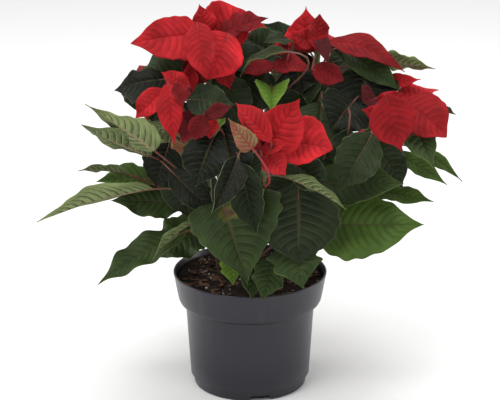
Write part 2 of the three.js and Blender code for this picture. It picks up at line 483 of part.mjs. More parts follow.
function notch(turn) {
  const shape = new THREE.Shape([
    new THREE.Vector2(-NOTCH_LOW_HALF, -GAP),
    new THREE.Vector2(NOTCH_LOW_HALF, -GAP),
    new THREE.Vector2(NOTCH_TOP_HALF, NOTCH_HEIGHT),
    new THREE.Vector2(-NOTCH_TOP_HALF, NOTCH_HEIGHT),
  ]);
  const depth = 2 * NOTCH_DEPTH;
  const geometry = new THREE.ExtrudeGeometry(shape, { depth, bevelEnabled: false });
  geometry.rotateX(Math.PI / 2).rotateZ(Math.PI / 2);
  geometry.translate(POT_OUTSIDE[1][0] - NOTCH_DEPTH, 0, 0);
  return toSolid(geometry.rotateZ(radians(turn)));
}

function pot() {
  const profile = [[0, 0], ...POT_OUTSIDE, ...POT_INSIDE, [0, POT_INSIDE.at(-1)[1]]];
  let wall = turned(profile, POT_SIDES);
  for (let i = 0; i < NOTCH_COUNT; i += 1) {
    wall = wall.subtract(notch(NOTCH_FIRST + (360 / NOTCH_COUNT) * i));
  }
  return wall;
}

// Fills the pot to a little below its rim; the cuttings stand in plain holes in it.
function soil() {
  let body = turned(SOIL_OUTLINE, POT_SIDES);
  for (const side of SIDES) body = body.subtract(branchRod(`${side}_main`, GAP));
  return body;
}

function leafyStem(side) {
  const branches = Object.keys(BRANCHES).filter((name) => name.startsWith(side));
  const solids = branches.map((name) => branchRod(name));
  LEAVES.forEach(([branch, place, ...shape], i) => {
    if (!branch.startsWith(side)) return;
    const blade = new Blade(BRACTS.length + i, ...shape);
    solids.push(blade.solid(branchCurve(branch).getPoint(place), false));
  });
  return fuse(solids);
}

function bractHead(head) {
  const [x, y, z] = headPlace(head);
  const solids = [disc(HUB_RADII, z - HUB_HALF_HEIGHT, z + HUB_HALF_HEIGHT, HUB_SIDES, x, y)];
  BRACTS.forEach(([on, ...shape], i) => {
    if (on !== head) return;
    const blade = new Blade(i, ...shape);
    solids.push(blade.solid([x, y, z], true));
  });
  return fuse(solids);
}

function buds(head) {
  const [x, y, z] = headPlace(head);
  const seat = z + HUB_HALF_HEIGHT + BUD_GAP;
  const radii = [BUD_SEAT_RADIUS, BUD_SEAT_RADIUS];
  const solids = [disc(radii, seat, seat + BUD_SEAT, HUB_SIDES, x, y)];
  for (let i = 0; i < BUD_COUNT; i += 1) {
    const turn = (2 * Math.PI * i) / BUD_COUNT;
    const bud = new THREE.OctahedronGeometry(BUD_RADIUS, 0);
    bud.translate(BUD_RING, 0, BUD_SEAT + BUD_RADIUS / 2).rotateZ(turn).translate(x, y, seat);
    solids.push(toSolid(bud));
  }
  return fuse(solids);
}

const plant = new THREE.Group();
plant.name = "potted_poinsettia";

function add(name, solid, colour) {
  const mesh = new THREE.Mesh(toGeometry(solid), new THREE.MeshStandardMaterial(COLOURS[colour]));
  mesh.name = name;
  plant.add(mesh);
}

add("pot", pot(), "pot");
add("soil", soil(), "soil");
for (const side of SIDES) add(`leafy_stem_${side}`, leafyStem(side), "leaf");
for (const head of Object.keys(HEADS)) {
  add(`bracts_${head}`, bractHead(head), "bract");
  add(`buds_${head}`, buds(head), "bud");
}

export default plant;
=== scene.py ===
"""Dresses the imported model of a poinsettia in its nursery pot: blades, stalks, buds, soil and pot."""

import logging
import math
import random
from dataclasses import dataclass
from enum import Enum
from typing import Callable, Iterable, Sequence

import bmesh
import bpy
import numpy as np
from mathutils import Matrix, Vector, noise


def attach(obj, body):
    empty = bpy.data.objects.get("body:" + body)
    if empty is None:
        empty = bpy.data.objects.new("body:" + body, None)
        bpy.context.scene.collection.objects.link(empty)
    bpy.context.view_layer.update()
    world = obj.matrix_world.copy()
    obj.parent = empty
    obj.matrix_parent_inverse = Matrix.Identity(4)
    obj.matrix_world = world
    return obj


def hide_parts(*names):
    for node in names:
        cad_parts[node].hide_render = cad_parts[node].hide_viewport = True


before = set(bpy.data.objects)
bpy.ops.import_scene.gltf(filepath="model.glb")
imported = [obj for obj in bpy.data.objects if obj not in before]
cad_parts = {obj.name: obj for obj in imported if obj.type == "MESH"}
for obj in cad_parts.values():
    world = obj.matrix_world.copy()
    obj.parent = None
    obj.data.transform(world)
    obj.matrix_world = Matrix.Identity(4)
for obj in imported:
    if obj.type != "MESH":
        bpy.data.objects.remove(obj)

LOG = logging.getLogger("poinsettia")
MM = 0.001
BODY = "root"
Colour = tuple[float, float, float]
Triple = tuple[float, float, float]

# Least half width of a blade, in millimetres, in its root half and its tip half.
LEAST_HALF = (1.2, 0.35)
# Half widths, in millimetres, from which a blade has its full relief and its full wave.
FULL_RELIEF_HALF = 14.0
FULL_WAVE_HALF = 8.0
# Edge of a blade: depth of its teeth as a share of the half width, height of its flutes, and how many.
EDGE_TEETH = 0.045
EDGE_FLUTE = 0.9
TEETH = 6.3
FLUTES = 5.3
# Depth and half width, in millimetres, of the groove over the midrib.
GROOVE_DEPTH = 1.2
GROOVE_HALF = 1.6
# Lobes of a lobed blade: place along it and size of each, and how far each reaches.
LOBES = ((0.34, 1.0), (0.6, 0.9))
LOBE_REACH = 0.11
# Place where a drawn-out tip starts to narrow, and the share of the blade over which it does.
DRAWN_START = 0.72
DRAWN_SHARE = 0.22
# Place of each side of a blade in its piece's list of materials: top, underside, blushed leaf.
TOP, UNDER, BLUSHED = 0, 1, 2


class Cut(Enum):
    """Cut of a blade: fullness at the root, slimness and narrowing of its tip, depth of its lobes."""

    BRACT = (0.95, 1.15, 0.4, 0.0)
    FLAME = (0.8, 1.5, 0.2, 0.0)
    ROUND = (0.72, 0.8, 0.25, 0.0)
    LEAF = (0.78, 1.1, 0.4, 0.0)
    LOBED = (0.8, 1.05, 0.35, 0.3)
    HEART = (0.3, 1.25, 0.2, 0.0)
    SPEAR = (0.5, 1.7, 0.2, 0.0)
    WIDE = (0.5, 0.9, 0.25, 0.0)


class Tone(Enum):
    """Colour range of a blade's upper side, darkest to lightest, in linear light. Besides each blade's own
    colour, the choice of tone paints light and shade: the darker ranges (SHADE, WINE, GARNET) paint shade on
    blades deep in the plant, the lighter ones (CHERRY, FRESH, LIME, PALE) paint light on blades that catch
    it.
    """

    WINE = ((0.08, 0.008, 0.01), (0.19, 0.012, 0.015))
    GARNET = ((0.2, 0.01, 0.013), (0.34, 0.014, 0.018))
    SCARLET = ((0.33, 0.013, 0.017), (0.51, 0.017, 0.022))
    CHERRY = ((0.48, 0.018, 0.023), (0.66, 0.023, 0.03))
    SHADE = ((0.004, 0.004, 0.003), (0.01, 0.01, 0.007))
    DEEP = ((0.014, 0.022, 0.009), (0.031, 0.046, 0.016))
    MID = ((0.034, 0.058, 0.015), (0.05, 0.086, 0.021))
    FRESH = ((0.066, 0.122, 0.019), (0.084, 0.15, 0.024))
    LIME = ((0.11, 0.22, 0.025), (0.19, 0.33, 0.04))
    BLUSH = ((0.21, 0.18, 0.07), (0.27, 0.23, 0.085))
    PALE = ((0.26, 0.31, 0.13), (0.32, 0.38, 0.17))

    @property
    def red(self) -> bool:
        """True for a bract's colours."""
        return self in (Tone.WINE, Tone.GARNET, Tone.SCARLET, Tone.CHERRY)


# Branches of the four cuttings, in millimetres: start, bend, end.
BRANCHES: dict[str, list[Triple]] = {
    "left_main": [(-20, 4, 62), (-22, 4, 100), (-34, 0, 150)],
    "left_low": [(-34, 0, 150), (-54, -22, 205), (-63, -32, 272)],
    "left_high": [(-34, 0, 150), (-40, 4, 225), (-31, 2, 303)],
    "front_main": [(2, -20, 62), (2, -22, 100), (-2, -38, 140)],
    "front_left": [(-2, -38, 140), (-26, -52, 195), (-36, -52, 248)],
    "front_right": [(-2, -38, 140), (8, -72, 180), (13, -86, 231)],
    "right_main": [(22, 4, 62), (24, 4, 100), (44, 0, 150)],
    "right_low": [(44, 0, 150), (84, -6, 200), (109, -14, 248)],
    "right_high": [(44, 0, 150), (54, 20, 220), (57, 32, 287)],
    "back_main": [(0, 24, 62), (0, 26, 100), (0, 40, 150)],
    "back_middle": [(0, 40, 150), (12, 30, 220), (21, 14, 273)],
    "back_left": [(0, 40, 150), (-40, 70, 195), (-60, 82, 246)],
    "back_right": [(0, 40, 150), (36, 76, 195), (60, 94, 242)],
}

# The branch that ends in the middle of each bract head.
HEADS: dict[str, str] = {
    "top_left": "left_high",
    "left": "left_low",
    "centre_left": "front_left",
    "front": "front_right",
    "centre": "back_middle",
    "top_right": "right_high",
    "right": "right_low",
    "back_left": "back_left",
    "back_right": "back_right",
}


@dataclass(frozen=True)
class Blade:
    """A bract, and the base of a leaf: how it lies, its cut and its colours. Millimetres and degrees."""

    root: Triple
    tip: Triple
    face: Triple
    width: float
    arch: float = 0.08
    fold: float = 10.0
    cut: Cut = Cut.BRACT
    tone: Tone = Tone.SCARLET
    skew: float = 0.5
    lean: float = 0.0
    wave: float = 1.5
    waves: float = 2.0
    scorch: tuple[float, float, float, float] | None = None

    def axes(self) -> tuple[np.ndarray, np.ndarray, np.ndarray, float]:
        """Works out how the blade lies.

        Returns:
            The root-to-tip direction, the facing direction, the crosswise direction and the length.
        """
        run = np.subtract(self.tip, self.root).astype(float)
        length = float(np.linalg.norm(run))
        along = run / length
        up = np.array(self.face, float)
        up -= up.dot(along) * along
        up /= np.linalg.norm(up)
        return along, up, np.cross(along, up), length

    def midrib(self) -> tuple[np.ndarray, np.ndarray, np.ndarray]:
        """Works out the quadratic curve that the midrib follows.

        Returns:
            Its start, bend and end.
        """
        along, up, _, length = self.axes()
        root = np.array(self.root, float)
        bend = root + along * length * self.skew + up * 2 * self.arch * length
        return root, bend, np.array(self.tip, float)

    def share(self, t: np.ndarray) -> np.ndarray:
        """Share of the full half width at each place from the root to the tip.

        Args:
            t: Places along the blade, 0 at the root and 1 at the tip.

        Returns:
            The share at each place.
        """
        root, tip, drawn, lobed = self.cut.value
        widest = root / (root + tip)
        share = (t / widest) ** root * (np.maximum(1 - t, 0) / (1 - widest)) ** tip
        step = np.clip((t - DRAWN_START) / DRAWN_SHARE, 0, 1)
        share = share * (1 - drawn * step * step * (3 - 2 * step))
        if lobed > 0:
            tooth = sum(size * np.maximum(0, 1 - abs(t - place) / LOBE_REACH) for place, size in LOBES)
            share = share * (1 - lobed * 0.45 + lobed * tooth)
        return share

    def surface(self, t: np.ndarray, v: np.ndarray, phase: float, relief: float) -> np.ndarray:
        """Points of the blade's middle sheet.

        Args:
            t: Places along the blade, 0 at the root and 1 at the tip.
            v: Places across it, -1 at one edge and 1 at the other.
            phase: Start of the wave of its edges.
            relief: Height of the swelling between the side veins, in millimetres.

        Returns:
            One point for each pair of places.
        """
        _, _, across, _ = self.axes()
        root, bend, tip = self.midrib()
        s = t[..., None]
        middle = (1 - s) ** 2 * root + 2 * s * (1 - s) * bend + s**2 * tip
        tangent = 2 * (1 - s) * (bend - root) + 2 * s * (tip - bend)
        tangent /= np.linalg.norm(tangent, axis=-1, keepdims=True)
        normal = np.cross(np.broadcast_to(across, tangent.shape), tangent)
        half = self.width / 2 * self.share(t) * (1 + self.lean * np.sign(v))
        half = np.maximum(half, np.where(t < 0.5, *LEAST_HALF))
        fold = math.radians(self.fold)
        out, side = np.abs(v), np.sign(v)
        size = np.minimum(1, half / FULL_RELIEF_HALF)
        teeth = np.sin(2 * np.pi * TEETH * t + 2.7 * phase + side)
        half = half * (1 + EDGE_TEETH * relief * size * out**3 * teeth)
        ripple = np.sin(2 * np.pi * self.waves * t + phase + np.where(v > 0, 0, 2.0))
        rise = out * half * math.sin(fold)
        rise += self.wave * np.minimum(1, half / FULL_WAVE_HALF) * out**1.5 * ripple
        swell = 0.5 - 0.5 * np.cos(2 * np.pi * self.vein_phase(t, v))
        rise += relief * size * swell * np.sin(np.pi * np.minimum(out * 1.15, 1)) ** 0.7
        rise -= relief * GROOVE_DEPTH * size * np.exp(-((v * half / GROOVE_HALF) ** 2))
        rise += EDGE_FLUTE * relief * size * out**4 * np.sin(2 * np.pi * FLUTES * t + 3 * phase + 1.5 * side)
        return middle + across * (v * half * math.cos(fold))[..., None] + normal * rise[..., None]

    def vein_pairs(self) -> int:
        """Returns how many pairs of side veins the blade has."""
        return round(5 + self.axes()[3] / 11)

    def vein_phase(self, t: np.ndarray, v: np.ndarray) -> np.ndarray:
        """Places counted in side veins: a whole number on each vein, and between them halfway.

        Args:
            t: Places along the blade, 0 at the root and 1 at the tip.
            v: Places across it, -1 at one edge and 1 at the other.

        Returns:
            The count at each place.
        """
        out = np.abs(v)
        return self.vein_pairs() * (t - 0.1 * out - 0.12 * out**2) + 0.3 * (v < 0)


@dataclass(frozen=True)
class Leaf(Blade):
    """A green leaf, with the place along its branch from which its stalk grows."""

    cut: Cut = Cut.LEAF
    tone: Tone = Tone.DEEP
    at: float = 1.0


# Each bract's tone is partly its own red and partly painted light and shade: darker tones on bracts lying in
# shade, brighter ones on bracts that catch light.
BRACTS: dict[str, list[Blade]] = {
    "top_left": [
        Blade((-41, -2, 308), (-97, -22, 306), (-0.15, -0.75, 0.6), 44, 0.07, 8, cut=Cut.WIDE, skew=0.45,
              lean=-0.18),
        Blade((-36, 10, 303), (-42, 12, 331), (0.3, -0.9, 0.2), 22, 0.05, tone=Tone.CHERRY),
        Blade((-32, 14, 300), (-3, 25, 322), (-0.1, -0.9, 0.35), 44, 0.04, cut=Cut.ROUND, lean=-0.1,
              tone=Tone.CHERRY),
        Blade((-28, 11, 304), (15, 5, 321), (-0.1, -0.5, 0.85), 26, 0.05, 14, wave=2, waves=4,
              tone=Tone.GARNET),
        Blade((-43, -24, 324), (-35, -58, 286), (-0.15, -0.9, 0.4), 26, cut=Cut.ROUND),
        Blade((-17, -14, 312), (-35, -42, 281), (0.2, -0.85, 0.5), 40, 0.09, 6, cut=Cut.ROUND,
              tone=Tone.CHERRY),
        Blade((-27, -9, 291), (-16, -25, 268), (0.2, -0.9, 0.3), 19, 0, 12),
        Blade((-42, 3, 291), (-42, -9, 264), (-0.2, -0.9, 0.3), 28, 0.05, 12, tone=Tone.WINE),
        Blade((-43, 12, 311), (-60, 78, 294), (-0.13, 0.32, 1), 38),
        Blade((-43, 6, 305), (-74, 22, 296), (-0.33, 0.12, 1), 34),
    ],
    "left": [
        Blade((-68, -40, 272), (-93, -50, 250), (-0.2, -0.85, 0.45), 22, tone=Tone.CHERRY),
        Blade((-66, -49, 281), (-60, -76, 237), (-0.1, -0.95, 0.3), 21),
        Blade((-48, -48, 276), (-72, -34, 285), (0, -0.8, 0.6), 15, 0.03, 8),
        Blade((-59, -59, 283), (-53, -72, 267), (0.3, -0.9, 0.2), 14, -0.02, 20, tone=Tone.GARNET),
        Blade((-49, -18, 264), (-50, -14, 289), (0.2, -0.9, 0.2), 14, 0.04, 20, tone=Tone.CHERRY),
    ],
    "centre_left": [
        Blade((-37, -76, 257), (-14, -72, 267), (-0.1, -0.7, 0.7), 14, 0.11, tone=Tone.WINE),
        Blade((-36, -30, 250), (-54, -73, 237), (-0.2, -0.9, 0.4), 30, 0.06, 16, cut=Cut.ROUND,
              tone=Tone.WINE),
        Blade((-35, -62, 253), (-32, -79, 242), (0.2, -0.9, 0.4), 18, fold=16),
        Blade((-37, -79, 262), (-44, -81, 241), (0, -0.9, 0.4), 18, 0.06, 16, tone=Tone.WINE),
    ],
    "front": [
        Blade((9, -93, 232), (39, -86, 277), (-0.05, -0.9, 0.4), 38, 0.05, 8, lean=0.12),
        Blade((20, -76, 239), (65, -97, 239), (0.05, -0.8, 0.55), 42, fold=6, cut=Cut.ROUND, lean=-0.1,
              tone=Tone.CHERRY),
        Blade((11, -102, 235), (28, -113, 222), (0.1, -0.65, 0.7), 22, fold=6, tone=Tone.CHERRY),
        Blade((17, -111, 248), (-11, -89, 274), (-0.2, -0.8, 0.6), 20, 0.14, 8, lean=0.1),
        Blade((9, -106, 240), (-5, -105, 265), (-0.4, -0.8, 0.2), 12, 0.1, 20, tone=Tone.GARNET),
        Blade((9, -99, 239), (5, -96, 261), (0.4, -0.9, 0.2), 12, 0.05, 20, tone=Tone.WINE),
        Blade((9, -102, 238), (30, -112, 249), (0.1, -0.8, 0.6), 12, 0.05, 20, wave=2),
    ],
    "centre": [
        Blade((17, 3, 280), (49, -6, 280), (0.1, -0.5, 0.85), 22, 0.13, 6, cut=Cut.ROUND, tone=Tone.GARNET),
        Blade((32, -4, 294), (17, 18, 294), (0, -0.8, 0.5), 15, 0.05, tone=Tone.GARNET),
        Blade((23, 43, 291), (-3, 66, 301), (0, -0.5, 0.8), 19, 0.06),
        Blade((20, 0, 282), (-6, -10, 277), (0, -0.6, 0.75), 17, 0.1, 8, tone=Tone.GARNET),
    ],
    "top_right": [
        Blade((47, 26, 287), (47, 36, 324), (0, -0.95, 0.2), 37, 0.09, 8, cut=Cut.FLAME, skew=0.4,
              tone=Tone.CHERRY),
        Blade((56, 15, 291), (58, 20, 321), (0.5, -0.85, 0.1), 22, -0.09, 16, cut=Cut.ROUND),
        Blade((57, 20, 296), (34, 17, 304), (-0.1, -0.8, 0.5), 19, -0.01),
        Blade((51, -12, 282), (77, -18, 274), (0.1, -0.85, 0.5), 20, fold=6, cut=Cut.ROUND, tone=Tone.GARNET),
        Blade((63, 15, 297), (128, -2, 277), (0.2, -0.55, 0.8), 27, 0.16, 6, skew=0.42, tone=Tone.GARNET),
        Blade((58, 14, 300), (64, -32, 288), (0, -0.85, 0.4), 13, 0.19, 8, tone=Tone.WINE),
        Blade((64, 44, 289), (91, 91, 275), (0.18, 0.3, 1), 36),
        Blade((56, 45, 286), (46, 112, 260), (-0.13, 0.32, 1), 36),
    ],
    "right": [
        Blade((113, 6, 268), (141, -6, 272), (0, -0.75, 0.6), 14, -0.1, cut=Cut.FLAME, tone=Tone.CHERRY),
        Blade((103, -29, 262), (92, -38, 261), (-0.2, -0.8, 0.5), 28, 0.03, 12, cut=Cut.ROUND,
              tone=Tone.WINE),
        Blade((100, -26, 255), (126, -16, 263), (0.1, -0.8, 0.5), 12, 0.05, 20, wave=2),
        Blade((108, -60, 273), (122, -60, 226), (-0.1, -0.88, 0.45), 38, fold=6, skew=0.4),
        Blade((112, -36, 247), (90, -42, 256), (-0.1, -0.8, 0.5), 13, 0.1),
        Blade((122, -24, 256), (160, -44, 233), (0.3, -0.75, 0.5), 42, 0.16, 4, cut=Cut.ROUND, lean=-0.04),
        Blade((118, -12, 250), (159, 19, 256), (0.34, 0.09, 1), 28, tone=Tone.CHERRY),
    ],
    "back_left": [
        Blade((-45, 88, 251), (5, 109, 230), (0.33, 0.12, 1), 40),
        Blade((-57, 97, 247), (-44, 158, 224), (0.07, 0.34, 1), 40),
        Blade((-61, 98, 255), (-100, 158, 228), (-0.22, 0.27, 1), 40),
        Blade((-74, 81, 247), (-104, 88, 228), (-0.35, -0.01, 1), 40),
        Blade((-62, 73, 248), (-87, 8, 231), (-0.19, -0.3, 1), 40),
        Blade((-52, 67, 247), (-18, 9, 224), (0.18, -0.3, 1), 40),
    ],
    "back_right": [
        Blade((81, 98, 238), (122, 105, 207), (0.35, 0, 1), 40),
        Blade((70, 108, 243), (109, 164, 220), (0.2, 0.29, 1), 40),
        Blade((54, 109, 243), (30, 168, 220), (-0.13, 0.32, 1), 40),
        Blade((46, 97, 243), (-10, 104, 215), (-0.34, 0.07, 1), 40, 0.06),
        Blade((72, 88, 243), (18, 12, 225), (-0.22, -0.27, 1), 40),
        Blade((71, 74, 241), (125, 24, 184), (0.22, -0.27, 1), 40),
    ],
}

# Each leaf's tone is partly its own green and partly painted light and shade: SHADE and darker tones on
# leaves deep in the plant, lighter tones on leaves that catch light.
LEAVES: dict[str, list[Leaf]] = {
    "left_main": [
        Leaf((-39, 13, 136), (-80, -5, 114), (-0.3, -0.7, 0.6), 45, at=0.6, wave=3, waves=3, tone=Tone.MID),
        Leaf((-54, -22, 144), (-127, -48, 106), (-0.4, -0.7, 0.6), 29, fold=12, at=0.7, wave=3, waves=3,
             tone=Tone.MID),
        Leaf((-55, -16, 167), (-116, -24, 172), (-0.1, -0.7, 0.6), 33, 0.05, 8, at=0.75, wave=2.5, waves=3,
             tone=Tone.MID),
        Leaf((-80, -42, 188), (-173, -70, 169), (0.05, 0.8, 0.45), 17, 0.05, 20, at=0.85, lean=-0.6, wave=2,
             tone=Tone.PALE),
        Leaf((-79, -17, 189), (-128, -22, 188), (0, -0.5, 0.8), 28, 0.06, at=0.9, tone=Tone.FRESH),
        Leaf((-54, -28, 199), (-51, -31, 160), (-0.1, -0.85, 0.4), 42, fold=8, at=0.9),
        Leaf((-65, -50, 207), (-26, -70, 175), (-0.3, -0.8, 0.4), 25, fold=14, at=0.92, tone=Tone.SHADE),
        Leaf((-101, -24, 195), (-142, -34, 201), (0.1, 0.7, 0.6), 14, fold=12, at=0.95),
    ],
    "left_low": [
        Leaf((-81, -38, 215), (-135, -66, 250), (0.25, 0.75, 0.5), 33, -0.02, 16, at=0.1),
        Leaf((-77, -56, 225), (-131, -70, 268), (0.25, 0.8, 0.4), 37, 0.02, 14, at=0.15, cut=Cut.SPEAR,
             tone=Tone.PALE),
        Leaf((-66, -30, 224), (-78, -34, 187), (-0.1, -0.85, 0.4), 35, fold=8, at=0.4, tone=Tone.SHADE),
        Leaf((-74, 7, 260), (-82, 2, 233), (-0.1, -0.85, 0.4), 61, 0.06, 8, at=0.5),
        Leaf((-68, 19, 232), (-75, 53, 205), (-0.18, 0.37, 0.91), 38, 0.12, at=0.5),
        Leaf((-51, -47, 222), (-62, -72, 241), (-0.3, -0.8, 0.4), 15, 0.01, 14, at=0.8, tone=Tone.BLUSH),
    ],
    "left_high": [
        Leaf((-50, 15, 190), (-109, 43, 146), (-0.22, -0.42, 0.88), 42, 0.12, at=0.3),
        Leaf((-33, -8, 268), (-2, -22, 235), (0.1, -0.85, 0.5), 46, fold=8, at=0.5),
        Leaf((-64, -18, 275), (-112, -9, 263), (-0.25, -0.7, 0.6), 33, 0.13, 12, at=0.55, cut=Cut.LOBED,
             lean=-0.35, tone=Tone.SHADE),
        Leaf((-41, 19, 273), (-100, -1, 269), (-0.2, -0.6, 0.8), 43, 0.05, 12, at=0.65, cut=Cut.LOBED,
             lean=-0.15),
    ],
    "front_main": [
        Leaf((5, -46, 132), (1, -70, 101), (0, -0.9, 0.4), 24, 0.04, 12, at=0.62, tone=Tone.MID),
        Leaf((-17, -38, 132), (-14, -52, 107), (0, -0.85, 0.5), 19, 0.05, 14, at=0.64, cut=Cut.LOBED,
             tone=Tone.LIME),
        Leaf((21, -56, 136), (10, -71, 101), (0, -0.85, 0.5), 28, 0.06, 14, at=0.68, cut=Cut.LOBED,
             tone=Tone.MID),
        Leaf((-45, -40, 159), (-80, -58, 132), (0.4, 0.5, 0.6), 14, 0.1, 14, at=0.8),
        Leaf((-23, -70, 188), (-2, -95, 125), (-0.05, -0.85, 0.5), 78, 0.06, at=0.9, cut=Cut.HEART,
             lean=-0.2, tone=Tone.MID, scorch=(0.17, -0.08, 0.08, 0.26)),
        Leaf((39, -67, 201), (39, -78, 134), (0.05, -0.8, 0.6), 68, fold=8, at=0.95),
    ],
    "front_left": [
        Leaf((-8, -72, 220), (6, -92, 166), (-0.2, -0.85, 0.4), 32, 0.06, 24, at=0.25),
        Leaf((-10, -82, 227), (-30, -122, 194), (0.3, -0.85, 0.3), 26, 0.06, 32, at=0.3, tone=Tone.SHADE),
        Leaf((-24, -47, 245), (-11, -72, 197), (0.1, -0.85, 0.4), 42, fold=8, at=0.35, tone=Tone.SHADE),
        Leaf((-29, -70, 241), (-44, -86, 204), (-0.1, -0.85, 0.4), 38, 0.11, 8, at=0.4, tone=Tone.SHADE),
        Leaf((-51, -42, 264), (-12, -68, 267), (-0.1, -0.8, 0.55), 28, fold=6, at=0.8),
        Leaf((-21, -46, 249), (-31, -77, 242), (-0.3, -0.8, 0.4), 9, 0.04, 20, at=0.9, tone=Tone.LIME),
    ],
    "front_right": [
        Leaf((10, -47, 224), (19, -62, 179), (0.1, -0.85, 0.4), 49, fold=8, at=0.4),
        Leaf((26, -96, 216), (76, -104, 191), (-0.2, 0.6, 0.6), 16, 0.06, 30, at=0.6),
        Leaf((34, -75, 220), (64, -81, 200), (0, -0.8, 0.5), 28, 0.06, at=0.6),
        Leaf((2, -126, 248), (-17, -108, 267), (-0.2, -0.8, 0.4), 17, 0.05, at=0.68, cut=Cut.HEART,
             tone=Tone.BLUSH),
    ],
    "right_main": [
        Leaf((31, -58, 150), (43, -83, 116), (0.1, -0.8, 0.6), 42, 0.1, at=0.66, cut=Cut.LOBED,
             tone=Tone.MID),
        Leaf((50, -40, 155), (142, -62, 164), (0.05, -0.75, 0.65), 60, 0.03, 8, at=0.8, lean=0.12,
             tone=Tone.FRESH),
        Leaf((103, -11, 176), (153, -27, 172), (0, -0.6, 0.8), 19, 0.04, at=0.85, tone=Tone.FRESH),
        Leaf((50, -24, 189), (124, -68, 201), (0, -0.75, 0.6), 42, -0.02, 8, at=0.9, tone=Tone.MID),
        Leaf((80, -48, 241), (74, -58, 204), (-0.2, -0.85, 0.4), 27, -0.01, 12, at=0.95),
    ],
    "right_low": [
        Leaf((120, -10, 210), (164, -24, 186), (0.1, -0.7, 0.6), 16, 0.04, at=0.2, tone=Tone.FRESH),
        Leaf((147, -4, 208), (178, -12, 185), (0.2, -0.7, 0.6), 14, 0.06, at=0.3, cut=Cut.SPEAR,
             tone=Tone.FRESH),
        Leaf((101, -19, 221), (127, -27, 183), (0, -0.8, 0.6), 34, 0.1, 8, at=0.3),
        Leaf((99, -54, 239), (71, -71, 196), (0.1, -0.85, 0.5), 38, fold=14, at=0.4),
        Leaf((130, -15, 246), (148, -63, 213), (0.2, -0.8, 0.5), 34, 0.07, at=0.55, lean=0.25, tone=Tone.MID),
        Leaf((149, -10, 250), (168, -32, 249), (0, -0.4, 0.8), 11, 0.02, 6, at=0.8),
    ],
    "right_high": [
        Leaf((49, -11, 220), (61, -14, 171), (0, -0.85, 0.4), 40, fold=8, at=0.3),
        Leaf((59, -19, 256), (56, -36, 220), (0, -0.85, 0.4), 44, fold=8, at=0.35),
        Leaf((86, -18, 257), (65, -41, 238), (0, -0.85, 0.4), 48, at=0.4, tone=Tone.SHADE),
        Leaf((76, 24, 262), (44, 3, 237), (-0.1, -0.8, 0.5), 28, 0.05, 14, at=0.45),
        Leaf((54, 19, 269), (48, -9, 249), (-0.2, -0.85, 0.4), 18, 0.06, 20, at=0.5),
        Leaf((94, 7, 277), (96, -12, 244), (0.2, -0.85, 0.4), 57, at=0.6, tone=Tone.SHADE),
        Leaf((40, 11, 280), (42, -4, 258), (0, -0.85, 0.4), 29, -0.08, 8, at=0.7, tone=Tone.SHADE),
        Leaf((78, 22, 290), (125, -8, 262), (-0.2, -0.7, 0.6), 24, 0.1, 14, at=0.75, tone=Tone.MID),
        Leaf((112, 12, 283), (154, 4, 278), (0, 0.6, 0.6), 28, 0.02, 6, at=0.8, cut=Cut.HEART,
             tone=Tone.PALE),
        Leaf((91, 35, 264), (68, 43, 288), (0, -0.7, 0.5), 35, 0.05, 8, at=0.8),
        Leaf((44, 44, 289), (11, 42, 308), (0, -0.6, 0.6), 21, 0.02, 6, at=0.9),
    ],
    "back_main": [
        Leaf((-1, 68, 124), (-12, 110, 133), (-0.06, 0.34, 1), 44, 0.12, at=0.7),
        Leaf((29, 71, 129), (44, 115, 168), (0.4, 0.3, 0.86), 44, 0.12, at=0.8),
        Leaf((-22, 55, 136), (-65, 99, 145), (-0.5, -0.58, 0.64), 44, 0.12, at=0.85),
    ],
    "back_middle": [
        Leaf((22, 14, 256), (43, 13, 216), (0.1, -0.85, 0.5), 40, fold=8, at=0.45),
        Leaf((6, 17, 278), (-16, -5, 237), (-0.1, -0.85, 0.5), 61, fold=8, at=0.5),
        Leaf((49, 58, 278), (28, 27, 245), (0, -0.85, 0.4), 48, 0.03, 8, at=0.6, tone=Tone.SHADE),
        Leaf((18, -8, 265), (18, -36, 251), (0, -0.35, 0.95), 37, 0.05, 40, at=0.7, cut=Cut.HEART,
             tone=Tone.LIME),
        Leaf((30, -50, 306), (-8, -12, 275), (-0.2, -0.35, 0.9), 15, 0.14, at=0.75),
        Leaf((10, 22, 288), (-18, 1, 277), (-0.1, -0.8, 0.5), 30, 0.1, 8, at=0.85),
        Leaf((33, 11, 301), (11, -14, 305), (0, -0.6, 0.7), 14, 0.07, at=0.9),
        Leaf((25, 27, 282), (-9, 39, 299), (-0.1, -0.7, 0.5), 34, 0.06, 8, at=0.9),
    ],
    "back_left": [
        Leaf((-51, 79, 184), (-73, 125, 212), (-0.17, 0.3, 1), 44, 0.12, at=0.3),
        Leaf((-53, 55, 179), (-85, 66, 206), (-0.64, 0.59, 0.49), 44, 0.12, at=0.4),
        Leaf((-41, 96, 212), (-41, 140, 205), (0, 0.35, 1), 40, 0.12, at=0.6),
    ],
    "back_right": [
        Leaf((41, 84, 183), (75, 124, 176), (0.22, 0.27, 1), 44, 0.12, at=0.3),
        Leaf((18, 115, 188), (-19, 141, 156), (0.6, 0.54, 0.59), 44, 0.12, at=0.4),
        Leaf((67, 82, 211), (112, 90, 205), (0.34, 0.06, 1), 40, 0.12, at=0.6),
    ],
}


